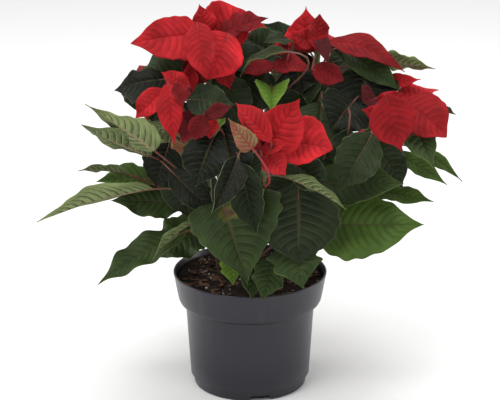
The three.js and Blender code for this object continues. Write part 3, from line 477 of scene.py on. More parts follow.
def sweep(bm: bmesh.types.BMesh, points: Sequence[Vector], radii: Sequence[float], sides: int) -> None:
    """Adds a closed round rod along points, in millimetres.

    Args:
        bm: Mesh that the rod is added to.
        points: Middle of each ring.
        radii: Radius of each ring.
        sides: Corners of each ring.
    """
    last = len(points) - 1
    turn = Matrix.Identity(3)
    heading = Vector((0, 0, 1))
    ring: list[bmesh.types.BMVert] = []
    for i, point in enumerate(points):
        ahead = (points[min(i + 1, last)] - points[max(i - 1, 0)]).normalized()
        turn = heading.rotation_difference(ahead).to_matrix() @ turn
        heading = ahead
        if i == 0:
            ring = bmesh.ops.create_circle(bm, cap_ends=True, segments=sides, radius=radii[0])["verts"]
            place = Matrix.Translation(point) @ turn.to_4x4()
            bmesh.ops.transform(bm, matrix=place, verts=ring)
            previous = place
            rim = [e for e in {edge for vert in ring for edge in vert.link_edges} if len(e.link_faces) == 1]
            bmesh.ops.reverse_faces(bm, faces=list({face for vert in ring for face in vert.link_faces}))
            continue
        grown = bmesh.ops.extrude_edge_only(bm, edges=rim)["geom"]
        ring = [g for g in grown if isinstance(g, bmesh.types.BMVert)]
        rim = [g for g in grown if isinstance(g, bmesh.types.BMEdge) and all(v in ring for v in g.verts)]
        place = Matrix.Translation(point) @ turn.to_4x4()
        scale = Matrix.Diagonal((radii[i] / radii[i - 1],) * 2 + (1.0, 1.0))
        bmesh.ops.transform(bm, matrix=place @ scale @ previous.inverted(), verts=ring)
        previous = place
    bmesh.ops.contextual_create(bm, geom=rim)


def bezier(curve: Sequence[Sequence[float]], s: float) -> Vector:
    """Point of a quadratic curve.

    Args:
        curve: Its start, bend and end.
        s: Place along it, from 0 to 1.

    Returns:
        The point.
    """
    start, bend, end = (Vector(point) for point in curve)
    return start * (1 - s) ** 2 + bend * (2 * s * (1 - s)) + end * s * s


def turned(profile: Sequence[tuple[float, float]], steps: int) -> bmesh.types.BMesh:
    """Turns a profile that starts and ends on the upright axis into a closed shape.

    Args:
        profile: Radius and height of each corner, in millimetres.
        steps: Steps in the full turn.

    Returns:
        The mesh.
    """
    bm = bmesh.new()
    corners = [bm.verts.new((radius, 0, height)) for radius, height in profile]
    edges = [bm.edges.new(pair) for pair in zip(corners, corners[1:])]
    bmesh.ops.spin(bm, geom=corners + edges, axis=(0, 0, 1), cent=(0, 0, 0), angle=2 * math.pi,
                   steps=steps, use_merge=True)
    bmesh.ops.remove_doubles(bm, verts=bm.verts[:], dist=0.001)
    bmesh.ops.recalc_face_normals(bm, faces=bm.faces[:])
    return bm


def in_scene(name: str, data: bpy.types.ID) -> bpy.types.Object:
    """Puts an object that holds the data in the scene.

    Args:
        name: Name of the object.
        data: Its mesh, light or camera.

    Returns:
        The object.
    """
    item = bpy.data.objects.new(name, data)
    bpy.context.scene.collection.objects.link(item)
    return item


def finish_piece(bm: bmesh.types.BMesh, name: str, nodes: Iterable[str],
                 materials: Sequence[bpy.types.Material]) -> bpy.types.Object:
    """Turns a mesh in millimetres into a piece that rides on the plant.

    Args:
        bm: The mesh, which is freed.
        name: Name of the piece.
        nodes: Solids that it stands for.
        materials: Its materials, in the order of its faces' indices.

    Returns:
        The piece.
    """
    bmesh.ops.scale(bm, vec=(MM, MM, MM), verts=bm.verts[:])
    for face in bm.faces:
        face.smooth = True
    mesh = bpy.data.meshes.new(name)
    bm.to_mesh(mesh)
    bm.free()
    piece = in_scene(name, mesh)
    for material in materials:
        mesh.materials.append(material)
    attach(piece, BODY)
    for node in nodes:
        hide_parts(node)
    LOG.info("%s: %d faces", name, len(mesh.polygons))
    return piece


class Nodes:
    """Adds and joins the nodes of one material or node group."""

    def __init__(self, tree: bpy.types.NodeTree) -> None:
        """Starts on a node tree."""
        self.tree = tree

    def add(self, kind: str, inputs: dict[str | int, object] | None = None,
            **settings: object) -> bpy.types.Node:
        """Adds a node.

        Args:
            kind: The node's type.
            inputs: A value or another node's output for each input.
            **settings: The node's own settings.

        Returns:
            The node.
        """
        node = self.tree.nodes.new(kind)
        for key, value in settings.items():
            setattr(node, key, value)
        for key, value in (inputs or {}).items():
            if isinstance(value, bpy.types.NodeSocket):
                self.tree.links.new(value, node.inputs[key])
            else:
                node.inputs[key].default_value = value
        return node

    def math(self, operation: str, *values: object) -> bpy.types.NodeSocket:
        """Returns the result of one sum on numbers or outputs."""
        return self.add("ShaderNodeMath", dict(enumerate(values)), operation=operation).outputs[0]

    def ramp(self, value: object, low: object, high: float, start: float = 0.0,
             end: float = 1.0) -> bpy.types.NodeSocket:
        """Returns a smooth step of value from start at low to end at high."""
        inputs = {"Value": value, "From Min": low, "From Max": high, "To Min": start, "To Max": end}
        return self.add("ShaderNodeMapRange", inputs, interpolation_type="SMOOTHSTEP").outputs["Result"]

    def mix(self, share: object, first: object, second: object) -> bpy.types.NodeSocket:
        """Mixes two colours.

        Args:
            share: Share of the second colour.
            first: The first colour.
            second: The second colour.

        Returns:
            The mixture.
        """
        node = self.add("ShaderNodeMix", data_type="RGBA")
        for socket, value in ((node.inputs[0], share), (node.inputs[6], first), (node.inputs[7], second)):
            if isinstance(value, bpy.types.NodeSocket):
                self.tree.links.new(value, socket)
            else:
                socket.default_value = (*value, 1.0) if isinstance(value, tuple) else value
        return node.outputs[2]


def new_group(name: str, inputs: dict[str, float],
              outputs: Sequence[str]) -> tuple[Nodes, bpy.types.Node, bpy.types.Node]:
    """Starts a shader node group.

    Args:
        name: Name of the group.
        inputs: Default of each numeric input.
        outputs: Names of its numeric outputs.

    Returns:
        Its nodes, its input node and its output node.
    """
    tree = bpy.data.node_groups.new(name, "ShaderNodeTree")
    for key, value in inputs.items():
        socket = tree.interface.new_socket(key, in_out="INPUT", socket_type="NodeSocketFloat")
        socket.default_value = value
    for key in outputs:
        tree.interface.new_socket(key, in_out="OUTPUT", socket_type="NodeSocketFloat")
    nodes = Nodes(tree)
    return nodes, nodes.add("NodeGroupInput"), nodes.add("NodeGroupOutput")


def vein_group() -> bpy.types.NodeTree:
    """Makes the group that draws a blade's midrib, side veins, fine net and painted shade beside each vein.

    Returns:
        The group, which reads the blade's own UV maps.
    """
    widths = {"Midrib Width": 0.07, "Vein Width": 0.3}
    nodes, given, result = new_group("blade_veins", widths, ("Midrib", "Veins", "Net", "Hollow Shade"))
    uv = nodes.add("ShaderNodeUVMap", uv_map="blade").outputs[0]
    along = nodes.add("ShaderNodeSeparateXYZ", {0: uv}).outputs["X"]
    counted = nodes.add("ShaderNodeUVMap", uv_map="veins").outputs[0]
    split = nodes.add("ShaderNodeSeparateXYZ", {0: counted})
    out = split.outputs["Y"]
    wobble = nodes.add("ShaderNodeTexNoise", {"Vector": counted, "Scale": 1.3, "Detail": 1.0}).outputs["Fac"]
    count = nodes.math("MULTIPLY_ADD", wobble, 0.25, split.outputs["X"])
    past = nodes.math("FRACT", count)
    near = nodes.math("ABSOLUTE", nodes.math("MULTIPLY_ADD", past, 2.0, -1.0))
    edge = nodes.math("SUBTRACT", 1.0, given.outputs["Vein Width"])
    line = nodes.ramp(near, edge, 1.0)
    # Painted shade: darkens the strip just past each side vein, where the dip beside the vein would lie in
    # shade.
    hollow_shade = nodes.math("MULTIPLY", nodes.ramp(past, 0.0, 0.16), nodes.ramp(past, 0.75, 0.16))
    fade = nodes.math("MULTIPLY", nodes.ramp(out, 1.0, 0.5), nodes.ramp(along, 0.98, 0.8))
    taper = nodes.math("MULTIPLY", given.outputs["Midrib Width"], nodes.ramp(along, 1.0, 0.0, 0.5, 1.6))
    midrib = nodes.ramp(out, taper, 0.0)
    cells = nodes.add("ShaderNodeTexVoronoi", {"Vector": counted, "Scale": 2.6}, feature="DISTANCE_TO_EDGE")
    net = nodes.ramp(cells.outputs["Distance"], 0.14, 0.0)
    drawn = {"Midrib": midrib, "Veins": nodes.math("MULTIPLY", line, fade), "Net": net,
             "Hollow Shade": nodes.math("MULTIPLY", hollow_shade, fade)}
    for key, value in drawn.items():
        nodes.tree.links.new(value, result.inputs[key])
    return nodes.tree


def mottle_group() -> bpy.types.NodeTree:
    """Makes the group that gives soft uneven patches and fine grain.

    Returns:
        The group, whose outputs are shares from 0 to 1.
    """
    scales = {"Patch Scale": 60.0, "Grain Scale": 900.0}
    nodes, given, result = new_group("mottle", scales, ("Patches", "Grain"))
    place = nodes.add("ShaderNodeTexCoord").outputs["Object"]
    drawn = {}
    for key, scale, detail in (("Patches", "Patch Scale", 3.0), ("Grain", "Grain Scale", 2.0)):
        inputs = {"Vector": place, "Scale": given.outputs[scale], "Detail": detail}
        drawn[key] = nodes.add("ShaderNodeTexNoise", inputs).outputs["Fac"]
    nodes.tree.links.new(nodes.ramp(drawn["Patches"], 0.3, 0.7), result.inputs["Patches"])
    nodes.tree.links.new(drawn["Grain"], result.inputs["Grain"])
    return nodes.tree


def shared_group(name: str, make: Callable[[], bpy.types.NodeTree]) -> bpy.types.NodeTree:
    """Returns the node group of that name, made once."""
    return bpy.data.node_groups.get(name) or make()


@dataclass(frozen=True)
class Finish:
    """What every finish has: its name, how rough it is and how strong its relief is."""

    name: str
    roughness: float = 0.5
    bump: float = 0.3
    patch_scale: float = 60.0
    grain_scale: float = 900.0

    def start(self) -> tuple[bpy.types.Material, Nodes, bpy.types.Node, bpy.types.Node]:
        """Starts the material.

        Returns:
            The material, its nodes, its shader and its mottle node.
        """
        material = bpy.data.materials.new(self.name)
        material.use_nodes = True
        nodes = Nodes(material.node_tree)
        shader = material.node_tree.nodes["Principled BSDF"]
        shader.inputs["Roughness"].default_value = self.roughness
        mottle = nodes.add("ShaderNodeGroup", node_tree=shared_group("mottle", mottle_group))
        mottle.inputs["Patch Scale"].default_value = self.patch_scale
        mottle.inputs["Grain Scale"].default_value = self.grain_scale
        return material, nodes, shader, mottle

    def relief(self, nodes: Nodes, shader: bpy.types.Node, height: object, distance: float) -> None:
        """Joins a height to the shader through a bump of that distance in metres."""
        bump = nodes.add("ShaderNodeBump", {"Height": height, "Distance": distance, "Strength": self.bump})
        nodes.tree.links.new(bump.outputs[0], shader.inputs["Normal"])


@dataclass(frozen=True)
class BladeFinish(Finish):
    """A leaf or bract side, coloured by the blade's tint, which partly paints light and shade, with veins and
    painted shade beside them drawn over it.
    """

    vein: Colour = (0.1, 0.2, 0.05)
    vein_share: float = 0.35
    rib: Colour = (0.3, 0.2, 0.1)
    rib_share: float = 0.7
    rim: Colour = (0.2, 0.22, 0.06)
    rim_share: float = 0.0
    wash: Colour = (0.0, 0.0, 0.0)
    wash_share: float = 0.0
    raised: float = -1.0
    specular: float = 0.4
    # Share of the painted shade, in black, beside each vein.
    hollow_shade_share: float = 0.3
    net_share: float = 0.1
    patch: Colour = (0.0, 0.0, 0.0)
    patch_share: float = 0.4

    def material(self) -> bpy.types.Material:
        """Makes the material.

        Returns:
            The material.
        """
        material, nodes, shader, mottle = self.start()
        veins = nodes.add("ShaderNodeGroup", node_tree=shared_group("blade_veins", vein_group))
        tint = nodes.add("ShaderNodeAttribute", attribute_name="tint").outputs["Color"]
        tint = nodes.mix(self.wash_share, tint, self.wash)
        patches = mottle.outputs["Patches"]
        shade = nodes.mix(nodes.math("MULTIPLY", patches, self.patch_share), tint, self.patch)
        # The mark beside each vein darkens towards black: painted shade.
        marks = {"Hollow Shade": (self.hollow_shade_share, (0.0, 0.0, 0.0)), "Veins": (self.vein_share, self.vein),
                 "Net": (self.net_share, self.vein), "Midrib": (self.rib_share, self.rib)}
        for mark, (share, colour) in marks.items():
            shade = nodes.mix(nodes.math("MULTIPLY", veins.outputs[mark], share), shade, colour)
        if self.rim_share > 0:
            uv = nodes.add("ShaderNodeUVMap", uv_map="blade").outputs[0]
            split = nodes.add("ShaderNodeSeparateXYZ", {0: uv})
            out = nodes.math("ABSOLUTE", nodes.math("MULTIPLY_ADD", split.outputs["Y"], 2.0, -1.0))
            edge = nodes.math("MULTIPLY", nodes.ramp(out, 0.93, 0.99), self.rim_share)
            shade = nodes.mix(edge, shade, self.rim)
        nodes.tree.links.new(shade, shader.inputs["Base Color"])
        shader.inputs["Specular IOR Level"].default_value = self.specular
        rough = nodes.math("MULTIPLY_ADD", mottle.outputs["Grain"], 0.16, self.roughness - 0.08)
        nodes.tree.links.new(rough, shader.inputs["Roughness"])
        lines = veins.outputs["Veins"]
        for mark, share in (("Midrib", 1.2), ("Net", 0.35)):
            lines = nodes.math("ADD", lines, nodes.math("MULTIPLY", veins.outputs[mark], share))
        grain = nodes.math("MULTIPLY", mottle.outputs["Grain"], 0.4)
        height = nodes.math("MULTIPLY_ADD", lines, self.raised, grain)
        self.relief(nodes, shader, height, 0.0006)
        return material


@dataclass(frozen=True)
class TintFinish(Finish):
    """A stalk, stem, bud or grain: its own tint, mottled and slightly grained."""

    patch: Colour = (0.0, 0.0, 0.0)
    patch_share: float = 0.35
    height: float = 0.0004

    def material(self) -> bpy.types.Material:
        """Makes the material.

        Returns:
            The material.
        """
        material, nodes, shader, mottle = self.start()
        tint = nodes.add("ShaderNodeAttribute", attribute_name="tint").outputs["Color"]
        share = nodes.math("MULTIPLY", mottle.outputs["Patches"], self.patch_share)
        nodes.tree.links.new(nodes.mix(share, tint, self.patch), shader.inputs["Base Color"])
        self.relief(nodes, shader, mottle.outputs["Grain"], self.height)
        return material


@dataclass(frozen=True)
class SoilFinish(Finish):
    """Dark moist peat with lighter fibres."""

    dark: Colour = (0.006, 0.0035, 0.0025)
    light: Colour = (0.05, 0.026, 0.016)

    def material(self) -> bpy.types.Material:
        """Makes the material.

        Returns:
            The material.
        """
        material, nodes, shader, mottle = self.start()
        place = nodes.add("ShaderNodeTexCoord").outputs["Object"]
        crumbs = nodes.add("ShaderNodeTexVoronoi", {"Vector": place, "Scale": 420.0}).outputs["Color"]
        lightness = nodes.add("ShaderNodeSeparateXYZ", {0: crumbs}).outputs["X"]
        share = nodes.math("MULTIPLY", lightness, mottle.outputs["Patches"])
        nodes.tree.links.new(nodes.mix(share, self.dark, self.light), shader.inputs["Base Color"])
        shader.inputs["Specular IOR Level"].default_value = 0.2
        height = nodes.math("ADD", lightness, mottle.outputs["Grain"])
        self.relief(nodes, shader, height, 0.0012)
        return material


@dataclass(frozen=True)
class PlasticFinish(Finish):
    """Dark moulded plastic with a soft shine, faint upright rubs and a fine skin."""

    colour: Colour = (0.0065, 0.0052, 0.0125)
    rubbed: Colour = (0.03, 0.0285, 0.035)

    def material(self) -> bpy.types.Material:
        """Makes the material.

        Returns:
            The material.
        """
        material, nodes, shader, mottle = self.start()
        place = nodes.add("ShaderNodeTexCoord").outputs["Object"]
        stretched = nodes.add("ShaderNodeMapping", {"Vector": place, "Scale": (1.0, 1.0, 0.12)}).outputs[0]
        noisy = nodes.add("ShaderNodeTexNoise", {"Vector": stretched, "Scale": 90.0, "Detail": 4.0})
        rubs = noisy.outputs["Fac"]
        rub = nodes.ramp(rubs, 0.5, 0.8)
        share = nodes.math("MULTIPLY", rub, nodes.math("MULTIPLY", mottle.outputs["Patches"], 0.5))
        nodes.tree.links.new(nodes.mix(share, self.colour, self.rubbed), shader.inputs["Base Color"])
        rough = nodes.math("MULTIPLY_ADD", rubs, 0.16, self.roughness - 0.08)
        nodes.tree.links.new(rough, shader.inputs["Roughness"])
        self.relief(nodes, shader, mottle.outputs["Grain"], 0.0001)
        return material


# In each finish, the share of black beside the veins is painted shade.
BRACT_TOP = BladeFinish("bract_top", 0.7, 0.6, 70.0, 1400.0, vein=(0.1, 0.002, 0.004), vein_share=0.36,
                        rib=(0.3, 0.008, 0.012), rib_share=0.3, raised=-1.0, specular=0.1,
                        hollow_shade_share=0.24, net_share=0.06)
BRACT_UNDER = BladeFinish("bract_under", 0.65, 0.7, 70.0, 1400.0, vein=(0.38, 0.05, 0.06), vein_share=0.35,
                          rib=(0.45, 0.09, 0.09), rib_share=0.5, wash=(0.26, 0.02, 0.028), wash_share=0.5,
                          raised=1.0, specular=0.12, hollow_shade_share=0.35, net_share=0.15)
LEAF_TOP = BladeFinish("leaf_top", 0.44, 0.7, 55.0, 1200.0, vein=(0.07, 0.11, 0.04), vein_share=0.24,
                       rib=(0.08, 0.07, 0.035), rib_share=0.55, rim=(0.07, 0.1, 0.03), rim_share=0.35,
                       raised=-1.0, specular=0.13, hollow_shade_share=0.34, net_share=0.08)
LEAF_UNDER = BladeFinish("leaf_under", 0.6, 1.0, 55.0, 1200.0, vein=(0.33, 0.38, 0.17), vein_share=0.8,
                         rib=(0.36, 0.24, 0.15), rib_share=0.9, wash=(0.25, 0.335, 0.12), wash_share=0.5,
                         raised=1.0, specular=0.16, hollow_shade_share=0.7, net_share=0.3)
LEAF_BLUSH = BladeFinish("leaf_blush", 0.55, 0.9, 55.0, 1200.0, vein=(0.27, 0.03, 0.03), vein_share=0.9,
                         rib=(0.3, 0.06, 0.05), rib_share=0.8, raised=1.0, specular=0.16,
                         hollow_shade_share=0.45, net_share=0.8, patch=(0.25, 0.035, 0.035), patch_share=0.6)
STALK = TintFinish("stalk_skin", 0.5, 0.3, 140.0, 1500.0, patch=(0.05, 0.015, 0.01), patch_share=0.4)
BUD = TintFinish("bud_skin", 0.4, 0.25, 300.0, 2500.0, patch=(0.3, 0.03, 0.01), patch_share=0.35)
GRAIN = TintFinish("loose_grain", 0.9, 0.8, 400.0, 2500.0, patch=(0.02, 0.01, 0.006), patch_share=0.6,
                   height=0.0008)
PEAT = SoilFinish("peat", 0.95, 1.0, 220.0, 1800.0)
POT_SKIN = PlasticFinish("pot_skin", 0.36, 0.2, 40.0, 4000.0)


SCORCH = (0.11, 0.045, 0.02)
SCORCH_EDGE = (0.13, 0.13, 0.025)
STALK_GREEN = (0.085, 0.11, 0.035)
STALK_RED = (0.17, 0.03, 0.028)
BRACT_STALK = (0.26, 0.012, 0.014)
WOOD = (0.04, 0.028, 0.014)
FRESH_STEM = (0.1, 0.14, 0.045)
HUB_GREEN = (0.16, 0.2, 0.06)
BUD_GREEN = (0.3, 0.34, 0.06)
BUD_TIP = (0.5, 0.2, 0.03)
CHIP_TAN = (0.26, 0.12, 0.06)
CHIP_BROWN = (0.05, 0.02, 0.011)


def blend(first: Colour, second: Colour, share: float) -> Colour:
    """Returns a mixture of two colours."""
    return tuple(a + (b - a) * share for a, b in zip(first, second))


def tinted_mesh() -> bmesh.types.BMesh:
    """Starts a mesh with a tint on its corners.

    Returns:
        An empty mesh with that colour layer and two UV maps, the second one counted in side veins.
    """
    bm = bmesh.new()
    bm.verts.layers.float_color.new("tint")
    bm.loops.layers.uv.new("blade")
    bm.loops.layers.uv.new("veins")
    return bm


@dataclass
class Growth:
    """Meshes blades, stalks and rods, all coloured by a tint on their corners. Millimetres."""

    rng: random.Random
    thickness: float = 0.5
    row_step: float = 1.15
    column_step: float = 2.0
    stalk_radii: Triple = (0.95, 0.75, 0.5)
    row_limits: tuple[int, int] = (14, 72)
    column_limits: tuple[int, int] = (3, 12)
    phase_step: float = 2.4
    leaf_relief: float = 0.75
    bract_relief: float = 0.4
    stalk_steps: int = 7
    stalk_sides: int = 8
    stalk_ends: tuple[float, float] = (0.08, 0.2)
    stalk_below: float = 0.3
    end_crowding: float = 0.05
    patch_size: float = 22.0
    patch_strength: float = 0.35
    patch_middle: float = 0.2
    tip_lightness: float = 0.12

    def tint(self, bm: bmesh.types.BMesh, verts: Iterable[bmesh.types.BMVert],
             colour: Callable[[Vector], Colour]) -> None:
        """Colours corners.

        Args:
            bm: The mesh.
            verts: Its corners to colour.
            colour: Gives the colour for a place.
        """
        layer = bm.verts.layers.float_color["tint"]
        for vert in verts:
            vert[layer] = (*colour(vert.co), 1.0)

    def blade(self, bm: bmesh.types.BMesh, blade: Blade, index: int) -> None:
        """Adds one blade's upper sheet.

        Args:
            bm: Mesh that it is added to.
            blade: The blade.
            index: Its place in the list of all blades, which sets its wave.
        """
        length = blade.axes()[3]
        least, most = self.row_limits
        rows = max(least, min(most, round(length / self.row_step)))
        least, most = self.column_limits
        columns = 2 * max(least, min(most, round(blade.width / 2 / self.column_step)))
        uv, veins = bm.loops.layers.uv["blade"], bm.loops.layers.uv["veins"]
        tint = bm.verts.layers.float_color["tint"]
        verts = bmesh.ops.create_grid(bm, x_segments=columns, y_segments=rows, size=1.0)["verts"]
        across = np.array([vert.co.x for vert in verts])
        along = np.clip([(vert.co.y + 1) / 2 for vert in verts], 0, 1)
        along = along - self.end_crowding * np.sin(2 * np.pi * along)
        counts = blade.vein_phase(along, across)
        sides = blade.vein_phase(along, np.where(across == 0, -1e-6, across))
        place = {vert: (t, v, up, down) for vert, t, v, up, down in zip(verts, along, across, counts, sides)}
        for face in {face for vert in verts for face in vert.link_faces}:
            face.material_index = BLUSHED if blade.tone is Tone.BLUSH else TOP
            left = face.calc_center_median().x < 0
            for loop in face.loops:
                t, v, up, down = place[loop.vert]
                loop[uv].uv = (t, (v + 1) / 2)
                loop[veins].uv = (down if left else up, abs(v))
        relief = self.bract_relief if blade.tone.red else self.leaf_relief
        points = blade.surface(along, across, self.phase_step * index, relief)
        dark, light = (np.array(colour) for colour in blade.tone.value)
        share = self.rng.random()
        for vert, point, t, v in zip(verts, points, along, across):
            vert.co = point
            patch = noise.noise(Vector(point) / self.patch_size) - self.patch_middle
            shade = share + self.patch_strength * patch + self.tip_lightness * (t - 0.5)
            colour = dark + (light - dark) * min(1.2, max(-0.2, shade))
            if blade.scorch:
                burn = self.burn(blade, t, v, point)
                colour = colour + (np.array(SCORCH_EDGE) - colour) * min(1.0, 2.2 * burn)
                colour = colour + (np.array(SCORCH) - colour) * max(0.0, min(1.0, 2.4 * burn - 1.2))
            vert[tint] = (*(float(c) for c in colour), 1.0)

    @staticmethod
    def burn(blade: Blade, t: float, v: float, point: np.ndarray) -> float:
        """Share of scorching, from 0 to 1.

        Args:
            blade: The scorched blade.
            t: Place along it.
            v: Place across it.
            point: The same place in the model.

        Returns:
            The share, 1 in the middle of the spot.
        """
        middle_t, middle_v, length, width = blade.scorch
        away = math.hypot((t - middle_t) / length, (v - middle_v) / width)
        ragged = 0.45 * noise.noise(Vector(point) / 3.5) + 0.25 * noise.noise(Vector(point) / 1.6)
        return max(0.0, min(1.0, 1.25 - away + ragged))

    def thicken(self, bm: bmesh.types.BMesh) -> None:
        """Gives the sheets their thickness; plain undersides take the second material.

        Args:
            bm: Mesh of the sheets.
        """
        bm.normal_update()
        for vert in bm.verts:
            vert.co += vert.normal * self.thickness / 2
        count = len(bm.faces)
        bmesh.ops.solidify(bm, geom=bm.faces[:], thickness=self.thickness)
        bm.faces.index_update()
        for face in bm.faces:
            if face.index >= count and face.material_index == TOP:
                face.material_index = UNDER

    def stalk(self, bm: bmesh.types.BMesh, blade: Blade, start: Vector, level: bool) -> None:
        """Adds the stalk between a blade and what it grows from.

        Args:
            bm: Mesh that it is added to.
            blade: The blade.
            start: Where the stalk starts.
            level: True where the stalk leaves level, as a bract's does.
        """
        root, bend, tip = (Vector(point) for point in blade.midrib())
        if level:
            control = start.lerp(root, 0.75)
            control.z = start.z
        else:
            control = root - (bend - root).normalized() * (start - root).length / 2
        steps = self.stalk_steps
        path = [bezier((start, control, root), s / steps) for s in range(steps + 1)]
        sunk = Vector(blade.axes()[1]) * self.stalk_below
        path += [bezier((root, bend, tip), s) - sunk for s in self.stalk_ends]
        thick, thin, end = self.stalk_radii
        radii = [thick + (thin - thick) * i / steps for i in range(steps + 1)] + [thin * 0.75, end * 0.6]
        before = set(bm.verts)
        sweep(bm, path, radii, self.stalk_sides)
        grown = set(bm.verts) - before
        if level:
            far = max(1.0, (root - start).length)
            self.tint(bm, grown, lambda p: blend(STALK_GREEN, BRACT_STALK, min(1, (p - start).length / far)))
        else:
            share = self.rng.uniform(0.35, 0.95)
            colour = BRACT_STALK if blade.tone is Tone.BLUSH else blend(STALK_GREEN, STALK_RED, share)
            self.tint(bm, grown, lambda _: colour)


@dataclass
class Cutting:
    """One rooted cutting: its main stem, its branches and all the leaves on them."""

    side: str
    growth: Growth
    first_index: dict[str, int]
    stem_radii: tuple[float, float] = (4.2, 3.6)
    branch_radii: tuple[float, float] = (3.3, 2.5)
    rings: int = 18
    sides: int = 14
    joint_swell: float = 0.07
    joint_every: float = 4.5
    short_of_head: float = 2.6
    woody_to: float = 95.0
    green_over: float = 170.0

    def branches(self) -> list[str]:
        """Returns the names of its branches."""
        return [name for name in BRANCHES if name.startswith(self.side)]

    def bark(self, point: Vector) -> Colour:
        """Colours the stem: woody low down, fresh green towards the heads.

        Args:
            point: A place on it.

        Returns:
            The colour there.
        """
        age = min(1.0, max(0.0, (point.z - self.woody_to) / self.green_over)) + 0.25 * noise.noise(point / 12)
        age = min(1.0, max(0.0, age))
        return blend(WOOD, FRESH_STEM, age)

    def build_stems(self) -> bpy.types.Object:
        """Builds the stem, the branches and the leaf stalks.

        Returns:
            The piece.
        """
        bm = tinted_mesh()
        for name in self.branches():
            main = name.endswith("main")
            first, last = self.stem_radii if main else self.branch_radii
            points = [bezier(BRANCHES[name], i / self.rings) for i in range(self.rings + 1)]
            radii = []
            for i in range(self.rings + 1):
                swell = 1 + self.joint_swell * max(0.0, math.cos(2 * math.pi * i / self.joint_every))
                radii.append((first + (last - first) * i / self.rings) * swell)
            if not main:
                points[-1] -= (points[-1] - points[-2]).normalized() * self.short_of_head
            sweep(bm, points, radii, self.sides)
        self.growth.tint(bm, bm.verts, self.bark)
        for name in self.branches():
            for blade in LEAVES.get(name, []):
                self.growth.stalk(bm, blade, bezier(BRANCHES[name], blade.at), False)
        return finish_piece(bm, f"stems_{self.side}", [f"leafy_stem_{self.side}"], [STALK.material()])

    def build_leaves(self) -> bpy.types.Object:
        """Builds the leaves.

        Returns:
            The piece.
        """
        bm = tinted_mesh()
        for name in self.branches():
            for i, blade in enumerate(LEAVES.get(name, [])):
                self.growth.blade(bm, blade, self.first_index[name] + i)
        self.growth.thicken(bm)
        materials = [LEAF_TOP.material(), LEAF_UNDER.material(), LEAF_BLUSH.material()]
        return finish_piece(bm, f"leaves_{self.side}", [f"leafy_stem_{self.side}"], materials)


@dataclass
class Head:
    """One head of red bracts with the flower buds in its middle."""

    name: str
    growth: Growth
    first_index: int
    hub_half: float = 2.5
    hub_radius: float = 4.0
    hub_sides: int = 14
    bud_radius: float = 1.7
    bud_shape: Triple = (0.92, 0.92, 1.12)
    bud_lift: float = 1.9
    tip_lift: float = 3.0
    ring_radius: float = 2.5
    inner_buds: tuple[Triple, ...] = ((0.0, 0.0, 0.6), (1.4, 1.6, 1.0))

    def middle(self) -> Vector:
        """Returns the middle of the head."""
        return Vector(BRANCHES[HEADS[self.name]][2])

    def build_bracts(self) -> bpy.types.Object:
        """Builds the bracts.

        Returns:
            The piece.
        """
        bm = tinted_mesh()
        for i, blade in enumerate(BRACTS[self.name]):
            self.growth.blade(bm, blade, self.first_index + i)
        self.growth.thicken(bm)
        materials = [BRACT_TOP.material(), BRACT_UNDER.material()]
        return finish_piece(bm, f"red_bracts_{self.name}", [f"bracts_{self.name}"], materials)

    def build_stalks(self) -> bpy.types.Object:
        """Builds the receptacle and the bracts' stalks.

        Returns:
            The piece.
        """
        bm = tinted_mesh()
        middle = self.middle()
        low = Vector((0, 0, self.hub_half))
        path = [middle - low, middle - low * 0.4, middle + low * 0.4, middle + low]
        sweep(bm, path, [self.hub_radius * share for share in (0.75, 0.95, 1.0, 0.8)], self.hub_sides)
        self.growth.tint(bm, bm.verts, lambda _: HUB_GREEN)
        for blade in BRACTS[self.name]:
            self.growth.stalk(bm, blade, middle, True)
        node = f"bracts_{self.name}"
        return finish_piece(bm, f"bract_stalks_{self.name}", [node], [STALK.material()])

    def build_buds(self) -> bpy.types.Object:
        """Builds the cluster of flower buds.

        Returns:
            The piece.
        """
        bm = tinted_mesh()
        seat = self.middle() + Vector((0, 0, self.hub_half + 0.5))
        turns = [math.pi / 2 * k for k in range(4)]
        spots = [Vector((math.cos(turn), math.sin(turn), 0)) * self.ring_radius for turn in turns]
        spots += [Vector(spot) for spot in self.inner_buds]
        for spot in spots:
            radius = self.bud_radius * self.growth.rng.uniform(0.85, 1.05)
            grown = bmesh.ops.create_uvsphere(bm, u_segments=12, v_segments=9, radius=radius)["verts"]
            lean = Vector((spot.x, spot.y, 4.0)).normalized().to_track_quat("Z", "Y").to_matrix().to_4x4()
            tall = Matrix.Diagonal((*self.bud_shape, 1.0))
            place = Matrix.Translation(seat + spot + Vector((0, 0, self.bud_lift))) @ lean @ tall
            bmesh.ops.transform(bm, matrix=place, verts=grown)
            tip = seat.z + self.tip_lift
            self.growth.tint(bm, grown, lambda p: BUD_GREEN if p.z < tip else BUD_TIP)
        return finish_piece(bm, f"flower_buds_{self.name}", [f"buds_{self.name}"], [BUD.material()])


